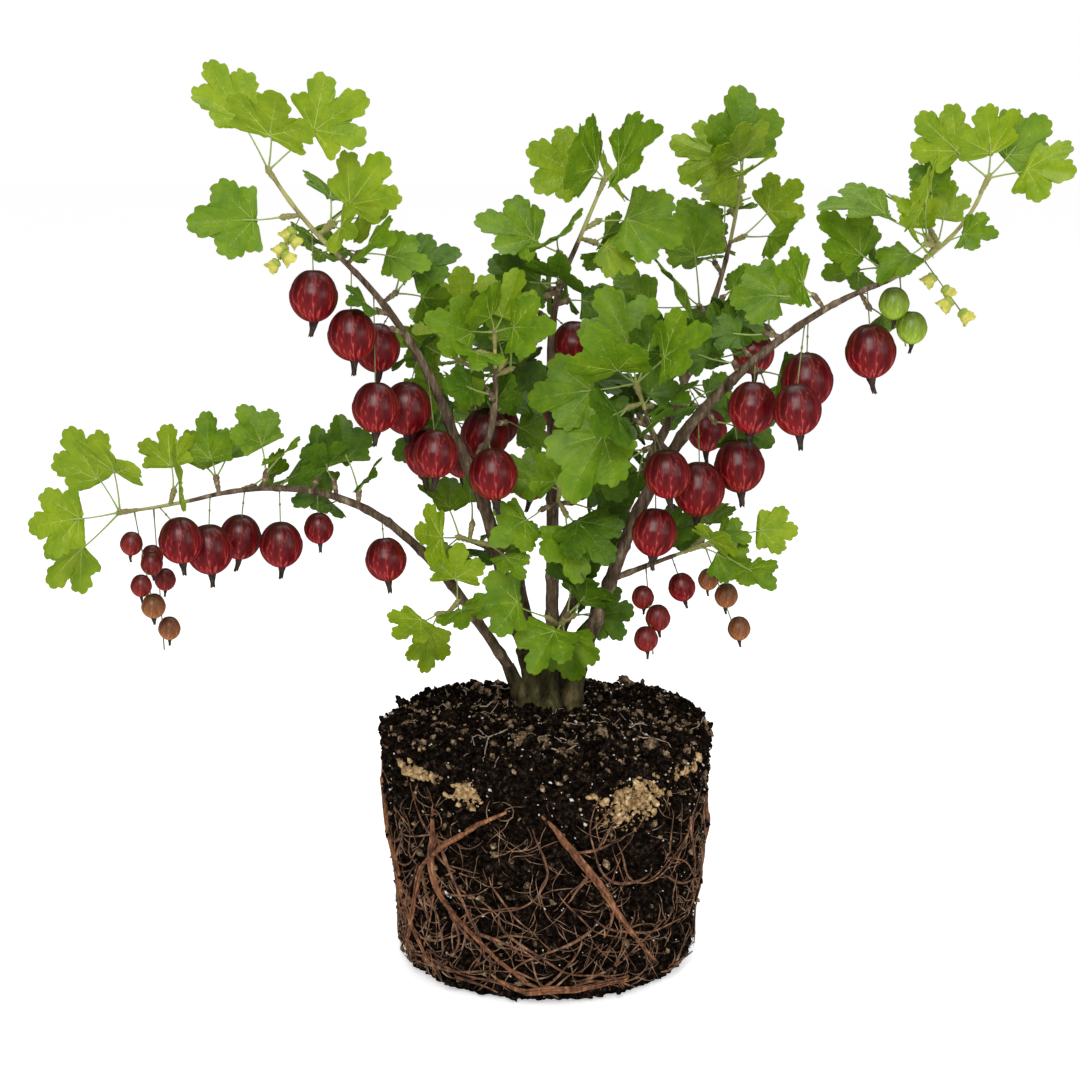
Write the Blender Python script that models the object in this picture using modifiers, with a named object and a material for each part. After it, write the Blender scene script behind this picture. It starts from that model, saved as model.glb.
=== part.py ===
"""A gooseberry bush on its bare root ball: a short woody stump, six boughs that arch out of it,
and masses of lobed leaves with hanging berries. Metres, +Z up. The origin is the centre of the
root ball's flat underside, and the viewer stands at -Y.

Every limb is an arc given by its compass turn, its length and how steeply it rises along its way.
Every mass of foliage grows from one stem by the same seeded rule: spurs along the stem carry
rosettes of leaves, the stem's tip carries a fan of them, and berries hang below on thin stalks.
A leaf or berry that would touch a limb or another mass is turned aside a little, or left out.
"""
import math
import random

import bmesh
import bpy
from mathutils import Matrix, Vector, noise
from mathutils.bvhtree import BVHTree

# Root ball: it keeps the shape of a two-litre nursery pot
BALL_FOOT_RADIUS = 0.072
BALL_RIM_RADIUS = 0.082
BALL_RIM_HEIGHT = 0.111
SOIL_HEIGHT = 0.124
SOIL_FLAT_RADIUS = 0.046
BALL_SIDES = 24
BALL_RINGS = 6
LUMP_DEPTH = 0.0022
LUMP_PITCH = 0.022
ROOT_COUNT = 8
ROOT_STEPS = 5
ROOT_SINK = 0.35

# Stump: a flared foot on the soil, deeper than it is wide, from which the boughs part
STUMP_PLACE = Vector((0.0, 0.020, SOIL_HEIGHT))
STUMP_WIDE = 0.88
STUMP_DEEP = 1.25
STUMP_FLARE = 0.10
STUMP_SIDES = 15
STUMP_PROFILE = (
    (0.0000, 0.0275), (0.0058, 0.0262), (0.0088, 0.0220), (0.0099, 0.0150), (0.0110, 0.0085),
    (0.0138, 0.0030), (0.0170, 0.0000), (0.0000, 0.0000),
)
CORE_SHARE = 0.6
CORE_SINK = 0.004
CLEARANCE = 0.0003
CUTTER_DEPTH = 0.006
SEAM = 0.000001
SHARP_EDGE = 40

# Leaves, as shares of the blade's length from stalk to tip: lobes and notches of the right half
LEAF_RIM = ((1.00, 0), (0.70, 20), (0.86, 44), (0.57, 88))
LEAF_HEEL = 0.04
LEAF_MIDDLE = 0.20
LEAF_THICK = 0.045
LEAF_FOLD = 0.16
LEAF_DROOP = 0.12
LEAF_GRIP = 0.17
STALK_RADIUS = 0.0007

# Fruit and blossom, as shares of the berry's radius
BERRY_SIDES = 6
BERRY_RINGS = (132, 88, 44)
BEAD_SIDES = 5
BEAD_RINGS = (118, 60)
BERRY_TALL = 1.06
BERRY_TAIL = 0.60
TAIL_RADIUS = 0.14
BERRY_HOLD = 0.60
PEDICEL_RADIUS = 0.0006
FLOWER_LONG = 2.6

# The growth rule. Angles are in degrees, and each pair is the least and the most of a share
LIMB_STEP = 0.017
BOUGH_SIDES = 6
STEM_SIDES = 6
SPUR_LENGTH = 0.011
SPUR_RADIUS = 0.0022
BUD_PLACE = 0.75
STALK_START = 0.0012
SPUR_FAN = 46
FAN_DEPTH = 24
TIP_DEPTH = 10
MIDDLE_STALK = 0.7
BLADE_SPREAD = (0.88, 1.08)
LEAF_TWIST = 14
LEAF_NOD = 12
BACK_DEPTH = -30
LIGHT_RISE = 0.5
LIGHT_SPREAD = 0.3
BERRY_SPREAD = (0.93, 1.05)
DROP_SPREAD = (0.8, 1.3)
BEAD_SPREAD = (0.9, 1.1)
BEAD_ASIDE = 0.55
BEAD_SLANT = (0.10, 0.35)
BEAD_RISE = 0.6
ROW_ASIDE = 0.004
SWAY = 0.0015
HANG_SPREAD = 0.1
STRING_BARE = 0.30
STRING_END = 0.985
LOOSE_FIRST = 4
LOOSE_MORE = 5
TRIES = 8
ROOM = 1.06

# A limb is (compass turn, rises along its way in degrees above level, length, foot and tip radius)
BOUGHS = {
    "low_left_bough": ((-0.0105, 0.0115, 0.1300), 196, (58, 56, 39), 0.114, 0.0035, 0.0026),
    "upper_left_bough": ((-0.0052, 0.0133, 0.1380), 204, (66, 78, 61), 0.129, 0.0045, 0.0036),
    "centre_bough": ((0.0030, 0.0195, 0.1396), 95, (91, 92, 90), 0.1163, 0.0042, 0.0035),
    "right_bough": ((0.0112, 0.0095, 0.1285), 346, (71, 70, 55), 0.151, 0.0046, 0.0036),
    "back_right_bough": ((0.0040, 0.0290, 0.1395), 40, (80, 46, 57, 52), 0.137, 0.0038, 0.0030),
    "back_left_bough": ((-0.0048, 0.0275, 0.1380), 122, (72, 60, 62), 0.120, 0.0038, 0.0029),
}

# A mass grows on from its bough's tip, or beside it at a share of the bough's length. Its tip is
# (lean from upright towards +X, fan between leaves, leaves, stalk, blade). Its spurs are (share of
# the stem, lean, lean towards the viewer, leaves, stalk, blade). Its rows of berries are (first
# share, last share, count, drop, radius). Its strings of small fruit, and its blossom, are (share,
# lean, lean towards the viewer, count, length, radius).
MASSES = {
    "low_left_foliage": {
        "bough": "low_left_bough", "stem": (192, (36, 9, -12, -5), 0.130, 0.0026, 0.0011),
        "tip": (-64, 46, 4, 0.028, 0.037),
        "spurs": (
            (0.82, 20, 25, 2, 0.012, 0.025), (0.64, -15, -30, 3, 0.014, 0.022),
            (0.48, 14, 15, 2, 0.014, 0.021), (0.30, 20, -35, 2, 0.014, 0.023),
            (0.12, 5, 25, 2, 0.016, 0.021),
        ),
        "rows": ((0.42, 0.80, 4, 0.013, 0.0112), (0.28, 0.28, 1, 0.010, 0.0070),
                 (0.02, 0.02, 1, 0.009, 0.0098)),
        "strings": ((0.95, 165, 25, 4, 0.046, 0.0056), (0.88, 180, -12, 5, 0.074, 0.0056)),
    },
    "upper_left_foliage": {
        "bough": "upper_left_bough", "stem": (200, (72, 58, 43, 58), 0.156, 0.0034, 0.0014),
        "tip": (4, 34, 3, 0.028, 0.037),
        "spurs": (
            (0.84, -96, 20, 1, 0.014, 0.033), (0.76, 44, -20, 3, 0.018, 0.027),
            (0.64, 48, 20, 3, 0.014, 0.023), (0.48, 54, -25, 3, 0.018, 0.025),
            (0.36, -60, 40, 2, 0.008, 0.017), (0.24, -50, -50, 2, 0.012, 0.023),
        ),
        "rows": ((0.28, 0.44, 2, 0.005, 0.0120), (0.62, 0.79, 2, 0.017, 0.0122),
                 (0.10, 0.10, 1, 0.010, 0.0120), (0.22, 0.22, 1, 0.024, 0.0108)),
        "blossom": ((0.84, 205, 30, 5, 0.026, 0.0028),),
    },
    "left_middle_foliage": {
        "bough": "upper_left_bough", "beside": 0.86,
        "stem": (345, (50, 88, 92), 0.070, 0.0028, 0.0012),
        "tip": (5, 44, 4, 0.012, 0.026),
        "spurs": (
            (0.84, -75, 30, 3, 0.014, 0.022), (0.70, 65, 10, 3, 0.016, 0.026),
            (0.52, -20, 55, 3, 0.012, 0.024), (0.36, 85, -35, 3, 0.018, 0.026),
            (0.16, 125, 20, 3, 0.016, 0.026),
        ),
        "rows": ((0.26, 0.56, 2, 0.006, 0.0120),),
    },
    "inner_left_foliage": {
        "bough": "upper_left_bough", "beside": 0.52,
        "stem": (205, (30, 20), 0.022, 0.0020, 0.0013),
        "tip": (-80, 50, 3, 0.016, 0.026),
        "spurs": ((0.75, 10, -20, 2, 0.014, 0.023),),
    },
    "centre_foliage": {
        "bough": "centre_bough", "stem": (340, (92, 90, 66, 66), 0.131, 0.0034, 0.0012),
        "tip": (-16, 44, 4, 0.011, 0.032),
        "spurs": (
            (0.80, 60, -10, 1, 0.014, 0.030), (0.66, -36, 30, 2, 0.014, 0.028),
            (0.54, 0, 40, 3, 0.010, 0.025), (0.42, -72, 10, 3, 0.018, 0.026),
            (0.30, 60, -30, 3, 0.018, 0.026), (0.14, -20, 50, 3, 0.016, 0.028),
            (0.03, 75, 40, 3, 0.016, 0.030),
        ),
        "rows": ((0.36, 0.46, 2, 0.010, 0.0112),),
    },
    "inner_centre_foliage": {
        "bough": "centre_bough", "beside": 0.66,
        "stem": (285, (40, 60), 0.022, 0.0022, 0.0013),
        "tip": (-10, 60, 3, 0.010, 0.026),
        "spurs": ((0.70, 150, 30, 2, 0.008, 0.033), (0.60, 95, -30, 2, 0.014, 0.027),
                  (0.60, -110, 20, 1, 0.012, 0.026)),
    },
    "upper_right_foliage": {
        "bough": "back_right_bough", "stem": (20, (66, 70, 84), 0.138, 0.0029, 0.0013),
        "tip": (0, 32, 4, 0.014, 0.034),
        "spurs": (
            (0.62, -30, -40, 3, 0.018, 0.026), (0.46, -46, 30, 3, 0.026, 0.032),
            (0.34, 60, -30, 3, 0.018, 0.026), (0.20, -40, -50, 3, 0.018, 0.028),
            (0.06, 30, -60, 3, 0.018, 0.027),
        ),
        "rows": ((0.20, 0.44, 2, 0.010, 0.0112),),
    },
    "right_middle_foliage": {
        "bough": "right_bough", "beside": 0.88,
        "stem": (200, (38, 70, 70), 0.040, 0.0026, 0.0013),
        "tip": (-30, 46, 4, 0.022, 0.034),
        "spurs": (
            (0.75, -105, 30, 3, 0.018, 0.033), (0.50, 50, 50, 3, 0.014, 0.027),
            (0.25, -80, -30, 3, 0.014, 0.026),
        ),
    },
    "right_foliage": {
        "bough": "right_bough", "stem": (350, (51, 43, 35, 22, 43, 72), 0.182, 0.0035, 0.0012),
        "tip": (18, 46, 4, 0.019, 0.033),
        "spurs": (
            (0.78, -40, 20, 2, 0.022, 0.033), (0.66, -60, -25, 3, 0.016, 0.027),
            (0.56, 150, 20, 2, 0.010, 0.024), (0.46, -38, 15, 3, 0.018, 0.028),
            (0.32, -42, -20, 3, 0.018, 0.027), (0.18, -20, 40, 3, 0.014, 0.024),
            (0.06, 150, -10, 3, 0.014, 0.024),
        ),
        "rows": ((0.03, 0.15, 2, 0.024, 0.0122), (0.24, 0.58, 3, 0.015, 0.0124),
                 (0.30, 0.46, 2, 0.028, 0.0108)),
        "strings": ((0.67, 176, 15, 3, 0.034, 0.0078),),
        "blossom": ((0.74, 145, 20, 4, 0.030, 0.0028),),
    },
    "low_right_foliage": {
        "bough": "right_bough", "beside": 0.42, "stem": (352, (24, 20), 0.052, 0.0022, 0.0012),
        "tip": (95, 40, 2, 0.026, 0.020),
        "spurs": ((0.75, 60, 30, 2, 0.010, 0.020), (0.40, 20, -30, 2, 0.010, 0.020)),
        "rows": ((0.62, 0.62, 1, 0.008, 0.0070),),
        "strings": ((0.36, 176, 30, 4, 0.045, 0.0058), (0.95, 160, -10, 5, 0.054, 0.0056)),
    },
    "back_left_foliage": {
        "bough": "back_left_bough", "stem": (118, (66, 76, 80), 0.056, 0.0028, 0.0013),
        "tip": (-10, 50, 5, 0.016, 0.029),
        "spurs": (
            (0.75, -70, -30, 3, 0.018, 0.027), (0.60, 50, -50, 3, 0.018, 0.028),
            (0.40, -30, -60, 3, 0.018, 0.028), (0.25, 75, 0, 3, 0.018, 0.027),
            (0.10, -90, -20, 3, 0.018, 0.027),
        ),
        "rows": ((0.10, 0.60, 3, 0.012, 0.0112),),
    },
    "foot_foliage": {
        "bough": "centre_bough", "beside": 0.16, "stem": (285, (35, 15), 0.021, 0.0018, 0.0012),
        "tip": (200, 60, 2, 0.006, 0.027),
        "spurs": ((0.70, -50, 30, 1, 0.020, 0.026), (0.70, 60, -20, 2, 0.012, 0.022)),
    },
    "low_twig_foliage": {
        "bough": "low_left_bough", "beside": 0.42, "stem": (215, (20, 0), 0.021, 0.0017, 0.0012),
        "tip": (-130, 60, 2, 0.010, 0.022),
        "spurs": ((0.75, 40, 20, 2, 0.012, 0.022),),
    },
}


def empty_scene():
    for old in list(bpy.data.objects):
        bpy.data.objects.remove(old, do_unlink=True)


def plant_material(name, colour, roughness):
    made = bpy.data.materials.new(name)
    made.use_nodes = True
    shader = made.node_tree.nodes["Principled BSDF"]
    shader.inputs["Base Color"].default_value = (*colour, 1)
    shader.inputs["Roughness"].default_value = roughness
    shader.inputs["Metallic"].default_value = 0.0
    return made


def new_object(name, mesh, home):
    made = bpy.data.objects.new(name, mesh)
    home.objects.link(made)
    return made


def applied_mesh(obj, weld=False):
    """The object's mesh as its modifiers leave it, with loose seams welded where that is asked.
    The object is removed."""
    bpy.context.view_layer.update()
    graph = bpy.context.evaluated_depsgraph_get()
    mesh = bpy.data.meshes.new_from_object(obj.evaluated_get(graph))
    mesh.transform(obj.matrix_world)
    if weld:
        shape = bmesh.new()
        shape.from_mesh(mesh)
        bmesh.ops.remove_doubles(shape, verts=shape.verts, dist=SEAM)
        shape.to_mesh(mesh)
        shape.free()
    bpy.data.objects.remove(obj, do_unlink=True)
    return mesh


def turned_mesh(profile, sides, home):
    """A closed body turned about Z from (radius, height) points that run down its outer side."""
    outline = bpy.data.meshes.new("profile")
    edges = [(i, i + 1) for i in range(len(profile) - 1)]
    outline.from_pydata([(radius, 0, height) for radius, height in profile], edges, [])
    obj = new_object("profile", outline, home)
    screw = obj.modifiers.new("turn", "SCREW")
    screw.steps = screw.render_steps = sides
    screw.use_merge_vertices = True
    screw.merge_threshold = SEAM
    return applied_mesh(obj, weld=True)


def tube_mesh(points, radii, sides, home):
    """A tapered tube along the points, with flat ends."""
    curve = bpy.data.curves.new("tube", "CURVE")
    curve.dimensions = "3D"
    curve.bevel_depth = 1.0
    curve.bevel_resolution = (sides - 4) // 2
    curve.use_fill_caps = True
    line = curve.splines.new("POLY")
    line.points.add(len(points) - 1)
    for knot, point, radius in zip(line.points, points, radii):
        knot.co = (*point, 1)
        knot.radius = radius
    return applied_mesh(new_object("tube", curve, home), weld=True)


# Unit shapes, each modelled once and set in place by a matrix


def leaf_mesh():
    """A blade of unit length along +Y, from its heel at the origin. A sphere of one equator is
    flattened: its rim takes the lobes and its poles become the raised and lowered middle."""
    rim = [(share, angle) for share, angle in LEAF_RIM] + [(LEAF_HEEL, 180)]
    rim += [(share, -angle) for share, angle in reversed(LEAF_RIM[1:])]
    shape = bmesh.new()
    bmesh.ops.create_uvsphere(shape, u_segments=len(rim), v_segments=2, radius=1)
    for vert in shape.verts:
        if abs(vert.co.z) > 0.5:
            middle = -LEAF_DROOP * LEAF_MIDDLE ** 2
            vert.co = (0, LEAF_MIDDLE, middle + math.copysign(LEAF_THICK / 2, vert.co.z))
            continue
        turn = math.atan2(vert.co.x, vert.co.y) % math.tau
        share, angle = rim[round(turn / math.tau * len(rim)) % len(rim)]
        across = share * math.sin(math.radians(angle))
        along = share * math.cos(math.radians(angle))
        vert.co = (across, along, LEAF_FOLD * abs(across) - LEAF_DROOP * along * along)
    return finished("leaf", shape)


def rod_mesh():
    """A three-sided rod along +Y from the origin, of unit length and unit radius."""
    shape = bmesh.new()
    bmesh.ops.create_cone(shape, cap_ends=True, segments=3, radius1=1, radius2=0.75, depth=1)
    bmesh.ops.translate(shape, verts=shape.verts, vec=(0, 0, 0.5))
    bmesh.ops.rotate(shape, verts=shape.verts, matrix=Matrix.Rotation(-math.pi / 2, 3, "X"))
    return finished("rod", shape)


def spur_mesh():
    """A four-sided spindle along +Y from the origin, of unit length and unit radius, widest at the
    bud near its end."""
    shape = bmesh.new()
    bmesh.ops.create_uvsphere(shape, u_segments=4, v_segments=2, radius=1)
    for vert in shape.verts:
        x, y, z = vert.co
        vert.co = (x, (BUD_PLACE, 1 if z > 0 else 0)[abs(z) > 0.5], y)
    return finished("spur", shape)


def berry_mesh(name, sides, rings, home):
    """A berry of unit radius that hangs along +Y from its stalk at the origin, with the withered
    flower as a thin tail."""
    tall = 2 * BERRY_TALL
    profile = [(0, tall + BERRY_TAIL), (TAIL_RADIUS, tall * 0.98)]
    for angle in rings:
        turn = math.radians(angle)
        profile.append((math.sin(turn), tall * (1 - math.cos(turn)) / 2))
    mesh = turned_mesh(profile + [(0, 0)], sides, home)
    mesh.transform(Matrix.Rotation(-math.pi / 2, 4, "X"))
    mesh.name = name
    return mesh


def flower_mesh():
    """A small bell that opens along +Y."""
    shape = bmesh.new()
    bmesh.ops.create_cone(shape, cap_ends=True, segments=4, radius1=0.35, radius2=1.0,
                          depth=FLOWER_LONG)
    bmesh.ops.translate(shape, verts=shape.verts, vec=(0, 0, FLOWER_LONG / 2))
    bmesh.ops.rotate(shape, verts=shape.verts, matrix=Matrix.Rotation(-math.pi / 2, 3, "X"))
    return finished("flower", shape)


def finished(name, shape):
    bmesh.ops.recalc_face_normals(shape, faces=shape.faces)
    mesh = bpy.data.meshes.new(name)
    shape.to_mesh(mesh)
    shape.free()
    return mesh


def unit_shapes(home):
    return {"leaf": leaf_mesh(), "rod": rod_mesh(), "spur": spur_mesh(),
            "flower": flower_mesh(),
            "berry": berry_mesh("berry", BERRY_SIDES, BERRY_RINGS, home),
            "bead": berry_mesh("bead", BEAD_SIDES, BEAD_RINGS, home)}


def placed(origin, forward, upward, wide, long):
    """Sets a unit shape at origin: its +Y goes along forward, and its +Z faces upward."""
    forward = forward.normalized()
    upward = (upward - forward * upward.dot(forward)).normalized()
    turn = Matrix((forward.cross(upward), forward, upward)).transposed().to_4x4()
    return Matrix.Translation(origin) @ turn @ Matrix.Diagonal((wide, long, wide, 1))


# Growth


def heading(lean, depth):
    """A direction that leans from upright towards +X, and towards the viewer at -Y."""
    side, toward = math.radians(lean), math.radians(depth)
    return Vector((math.sin(side) * math.cos(toward), -math.sin(toward),
                   math.cos(side) * math.cos(toward)))


def limb_points(start, turn, rises, length):
    """Points along a limb whose rise above level passes evenly through the given angles."""
    compass = math.radians(turn)
    steps = max(3, round(length / LIMB_STEP))
    points = [Vector(start)]
    for step in range(steps):
        place = (step + 0.5) / steps * (len(rises) - 1)
        low = min(int(place), len(rises) - 2)
        rise = math.radians(rises[low] + (rises[low + 1] - rises[low]) * (place - low))
        run = Vector((math.cos(compass) * math.cos(rise), math.sin(compass) * math.cos(rise),
                      math.sin(rise)))
        points.append(points[-1] + run * length / steps)
    return points


def point_at(points, share):
    place = share * (len(points) - 1)
    low = min(int(place), len(points) - 2)
    return points[low].lerp(points[low + 1], place - low)


def tapered(foot, tip, count):
    return [foot + (tip - foot) * i / (count - 1) for i in range(count)]


def straight(start, end, radius):
    """Sets the unit rod from start to end."""
    run = end - start
    return placed(start, run, run.orthogonal(), radius, run.length)


def outline_of(mesh, matrix):
    """Box and search tree of a placed shape, to find what touches it."""
    points = [matrix @ vert.co for vert in mesh.vertices]
    low = [min(point[i] for point in points) for i in range(3)]
    high = [max(point[i] for point in points) for i in range(3)]
    return low, high, BVHTree.FromPolygons(points, [tuple(f.vertices) for f in mesh.polygons])


def touches(outline, others):
    low, high, tree = outline
    for other_low, other_high, other_tree in others:
        apart = any(low[i] > other_high[i] or high[i] < other_low[i] for i in range(3))
        if not apart and tree.overlap(other_tree):
            return True
    return False


class Mass:
    """One mass of foliage while it grows."""

    def __init__(self, name, spec, start, shapes, taken):
        self.spec = spec
        self.shapes = shapes
        self.taken = taken
        self.draw = random.Random(name)
        turn, rises, length, self.foot_radius, self.tip_radius = spec["stem"]
        self.points = limb_points(start, turn, rises, length)
        self.woody = []
        self.soft = []
        self.pieces = []

    def try_piece(self, stalk, head_kind, head):
        """Keeps a stalk and what it bears if both have room."""
        body = outline_of(self.shapes[head_kind], head @ Matrix.Scale(ROOM, 4))
        rod = outline_of(self.shapes["rod"], stalk)
        if touches(body, self.taken + self.woody + self.soft):
            return False
        if touches(rod, self.taken + self.soft):
            return False
        self.pieces += [("rod", stalk), (head_kind, head)]
        self.soft.append(outline_of(self.shapes[head_kind], head))
        self.woody.append(rod)
        return True

    def keep(self, kind, matrix, among):
        """Keeps a piece that sits straight on its twig, if no leaf or other mass is in its way."""
        outline = outline_of(self.shapes[kind], matrix)
        if touches(outline, self.taken + self.soft):
            return False
        self.pieces.append((kind, matrix))
        among.append(outline)
        return True

    def wander(self, spread):
        return Vector([self.draw.gauss(0, spread) for _ in range(3)])

    def grow_leaf(self, foot, lean, depth, stalk, blade):
        """A leaf on its stalk. Its upper face looks at the light on its own side of the bush."""
        for attempt in range(TRIES):
            loose = LOOSE_FIRST + LOOSE_MORE * attempt
            toward = depth + self.draw.gauss(0, loose)
            aside = lean + self.draw.gauss(0, loose)
            side = 1 if toward > BACK_DEPTH else -1
            light = Vector((0, -side, LIGHT_RISE)) + self.wander(LIGHT_SPREAD)
            axis = heading(aside, toward)
            neck = foot + axis * stalk
            along = heading(aside + self.draw.gauss(0, LEAF_TWIST), toward + LEAF_NOD * side)
            head = placed(neck, along, light, blade, blade)
            hold = neck + along * blade * LEAF_GRIP
            if self.try_piece(straight(foot + axis * STALK_START, hold, STALK_RADIUS),
                              "leaf", head):
                return

    def grow_fan(self, foot, lean, depth, count, stalk, blade, fan):
        """Leaves fanned about one bud, by turns towards the viewer and away."""
        for i in range(count):
            place = i - (count - 1) / 2
            near = abs(place) < 0.75 and count > 2
            turned = FAN_DEPTH * (1 if i % 2 else -1) * (count > 1)
            self.grow_leaf(foot, lean + fan * place, depth + turned,
                           stalk * (MIDDLE_STALK if near else 1.0),
                           blade * self.draw.uniform(*BLADE_SPREAD))

    def grow_spur(self, share, lean, depth, count, stalk, blade):
        """A short side twig whose bud bears a fan of leaves."""
        foot = point_at(self.points, share)
        run = heading(lean, depth)
        spur = placed(foot, run, run.orthogonal(), SPUR_RADIUS, SPUR_LENGTH)
        if self.keep("spur", spur, self.woody):
            bud = foot + run * SPUR_LENGTH * BUD_PLACE
            self.grow_fan(bud, lean, depth, count, stalk, blade, SPUR_FAN)

    def hang(self, foot, aside, drop, kind, size):
        """A fruit of this size that hangs from foot on its own thin stalk."""
        for attempt in range(TRIES):
            top = foot + aside + self.wander(SWAY * (1 + attempt)) - Vector((0, 0, drop))
            down = Vector((0, 0, -1)) + self.wander(HANG_SPREAD)
            head = placed(top, down, down.orthogonal(), size, size)
            hold = top + down.normalized() * size * BERRY_HOLD
            if self.try_piece(straight(foot, hold, PEDICEL_RADIUS), kind, head):
                return

    def grow_row(self, first, last, count, drop, radius):
        """Berries that hang one by one below the stem, by turns to the front and the back."""
        for i in range(count):
            share = first + (last - first) * (i / (count - 1) if count > 1 else 0)
            aside = Vector((0, ROW_ASIDE * (1 if i % 2 else -1), 0))
            self.hang(point_at(self.points, share), aside, drop * self.draw.uniform(*DROP_SPREAD),
                      "berry", radius * self.draw.uniform(*BERRY_SPREAD))

    def grow_string(self, kind, share, lean, depth, count, length, radius):
        """Small fruit or flowers by turns on the two sides of a thin hanging stalk."""
        foot = point_at(self.points, share)
        run = heading(lean, depth)
        stalk = straight(foot, foot + run * length, PEDICEL_RADIUS)
        if not self.keep("rod", stalk, self.woody):
            return
        for i in range(count):
            place = foot + run * length * (
                STRING_BARE + (STRING_END - STRING_BARE) * i / (count - 1))
            side = 1 if i % 2 else -1
            size = radius * self.draw.uniform(*BEAD_SPREAD)
            slant = self.draw.uniform(*BEAD_SLANT)
            if kind == "flower":
                way = Vector((side, slant, -1))
                self.keep(kind, placed(place, way, way.orthogonal(), size, size), self.soft)
                continue
            aside = Vector((BEAD_ASIDE, slant, 0)) * side * (i < count - 1)
            top = place + (aside + Vector((0, 0, BEAD_RISE))) * size
            down = Vector((0, 0, -1)) + self.wander(HANG_SPREAD)
            self.keep(kind, placed(top, down, down.orthogonal(), size, size), self.soft)

    def grow(self):
        spec = self.spec
        for string in spec.get("strings", ()):
            self.grow_string("bead", *string)
        for row in spec.get("rows", ()):
            self.grow_row(*row)
        for blossom in spec.get("blossom", ()):
            self.grow_string("flower", *blossom)
        lean, fan, count, stalk, blade = spec["tip"]
        run = (self.points[-1] - self.points[-2]).normalized()
        foot = self.points[-1] - run * SPUR_LENGTH * BUD_PLACE
        self.keep("spur", placed(foot, run, run.orthogonal(), SPUR_RADIUS, SPUR_LENGTH),
                  self.woody)
        self.grow_fan(self.points[-1], lean, TIP_DEPTH, count, stalk, blade, fan)
        for spur in spec["spurs"]:
            self.grow_spur(*spur)


# The solids


def lumpy(point):
    """Moves a point of the root ball in or out. Its underside and the soil under the stump stay
    flat."""
    out = Vector((point.x, point.y, 0))
    if point.z < 1e-6 or (point.z > SOIL_HEIGHT - 1e-6 and out.length < SOIL_FLAT_RADIUS + 1e-4):
        return point
    lump = noise.noise(point / LUMP_PITCH) * LUMP_DEPTH
    if point.z > BALL_RIM_HEIGHT + 0.002:
        return point + Vector((0, 0, lump))
    return point + out.normalized() * lump


def root_paths():
    """Main roots on the ball's side: (points, foot radius). The first follows the thick root that
    shows in front, and the others are spread round by the golden angle."""
    draw = random.Random("roots")
    courses = [((-83, -70, -60, -44), 0.080, 0.012, 0.0026),
               ((-132, -134, -118, -96), 0.078, 0.010, 0.0020),
               ((-97, -84, -70, -58), 0.007, 0.010, 0.0018)]
    for number in range(ROOT_COUNT - len(courses)):
        first = number * 61 + draw.uniform(-12, 12)
        turns = [first + draw.gauss(0, 4) + 14 * i * draw.choice((1, -1)) for i in range(4)]
        courses.append((turns, draw.uniform(0.07, 0.095), 0.010, draw.uniform(0.0014, 0.0020)))
    paths = []
    for turns, top, low, radius in courses:
        points = []
        for step in range(ROOT_STEPS + 1):
            share = step / ROOT_STEPS
            place = share * (len(turns) - 1)
            start = min(int(place), len(turns) - 2)
            turn = math.radians(turns[start] + (turns[start + 1] - turns[start]) * (place - start))
            height = top + (low - top) * share
            spread = height / BALL_RIM_HEIGHT
            out = BALL_FOOT_RADIUS + (BALL_RIM_RADIUS - BALL_FOOT_RADIUS) * spread
            side = Vector((math.cos(turn), math.sin(turn), 0))
            surface = lumpy(side * out + Vector((0, 0, height)))
            sink = radius * (1.6 if step in (0, ROOT_STEPS) else ROOT_SINK)
            points.append(surface - side * sink)
        paths.append((points, radius))
    return paths


def union(name, base, pieces, home, material):
    """One body from the base mesh and the pieces, by one Boolean union on their collection."""
    group = bpy.data.collections.new(name + "_pieces")
    home.children.link(group)
    for number, (mesh, matrix) in enumerate(pieces):
        copy = new_object(f"{name}_piece_{number}", mesh.copy(), group)
        copy.data.transform(matrix)
    obj = new_object(name, base, home)
    join = obj.modifiers.new("join", "BOOLEAN")
    join.operation = "UNION"
    join.operand_type = "COLLECTION"
    join.collection = group
    join.solver = "EXACT"
    mesh = applied_mesh(obj)
    for piece in list(group.objects):
        bpy.data.objects.remove(piece, do_unlink=True)
    bpy.data.collections.remove(group)
    return part(name, mesh, home, material)


def part(name, mesh, home, material):
    mesh.name = name
    mesh.materials.clear()
    mesh.materials.append(material)
    mesh.shade_smooth()
    mesh.set_sharp_from_angle(angle=math.radians(SHARP_EDGE))
    return new_object(name, mesh, home)


def cut(name, mesh, cutter, home):
    """The mesh with the cutter's body taken out of it."""
    obj = new_object(name, mesh, home)
    away = obj.modifiers.new("clear", "BOOLEAN")
    away.operation = "DIFFERENCE"
    away.solver = "EXACT"
    away.object = cutter
    return applied_mesh(obj)


def root_ball(home, material):
    profile = [(0, SOIL_HEIGHT), (0.024, SOIL_HEIGHT), (SOIL_FLAT_RADIUS, SOIL_HEIGHT),
               (0.064, 0.1225), (0.0760, 0.1195), (0.0812, 0.1155)]
    for ring in range(BALL_RINGS + 1):
        share = 1 - ring / BALL_RINGS
        profile.append((BALL_FOOT_RADIUS + (BALL_RIM_RADIUS - BALL_FOOT_RADIUS) * share,
                        0.003 + (BALL_RIM_HEIGHT - 0.003) * share))
    profile += [(BALL_FOOT_RADIUS - 0.003, 0), (0, 0)]
    mesh = turned_mesh(profile, BALL_SIDES, home)
    for vert in mesh.vertices:
        vert.co = lumpy(vert.co.copy())
    roots = []
    for points, radius in root_paths():
        radii = tapered(radius, radius * 0.55, len(points))
        roots.append((tube_mesh(points, radii, 4, home), Matrix.Identity(4)))
    return union("root_ball", mesh, roots, home, material)


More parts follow.
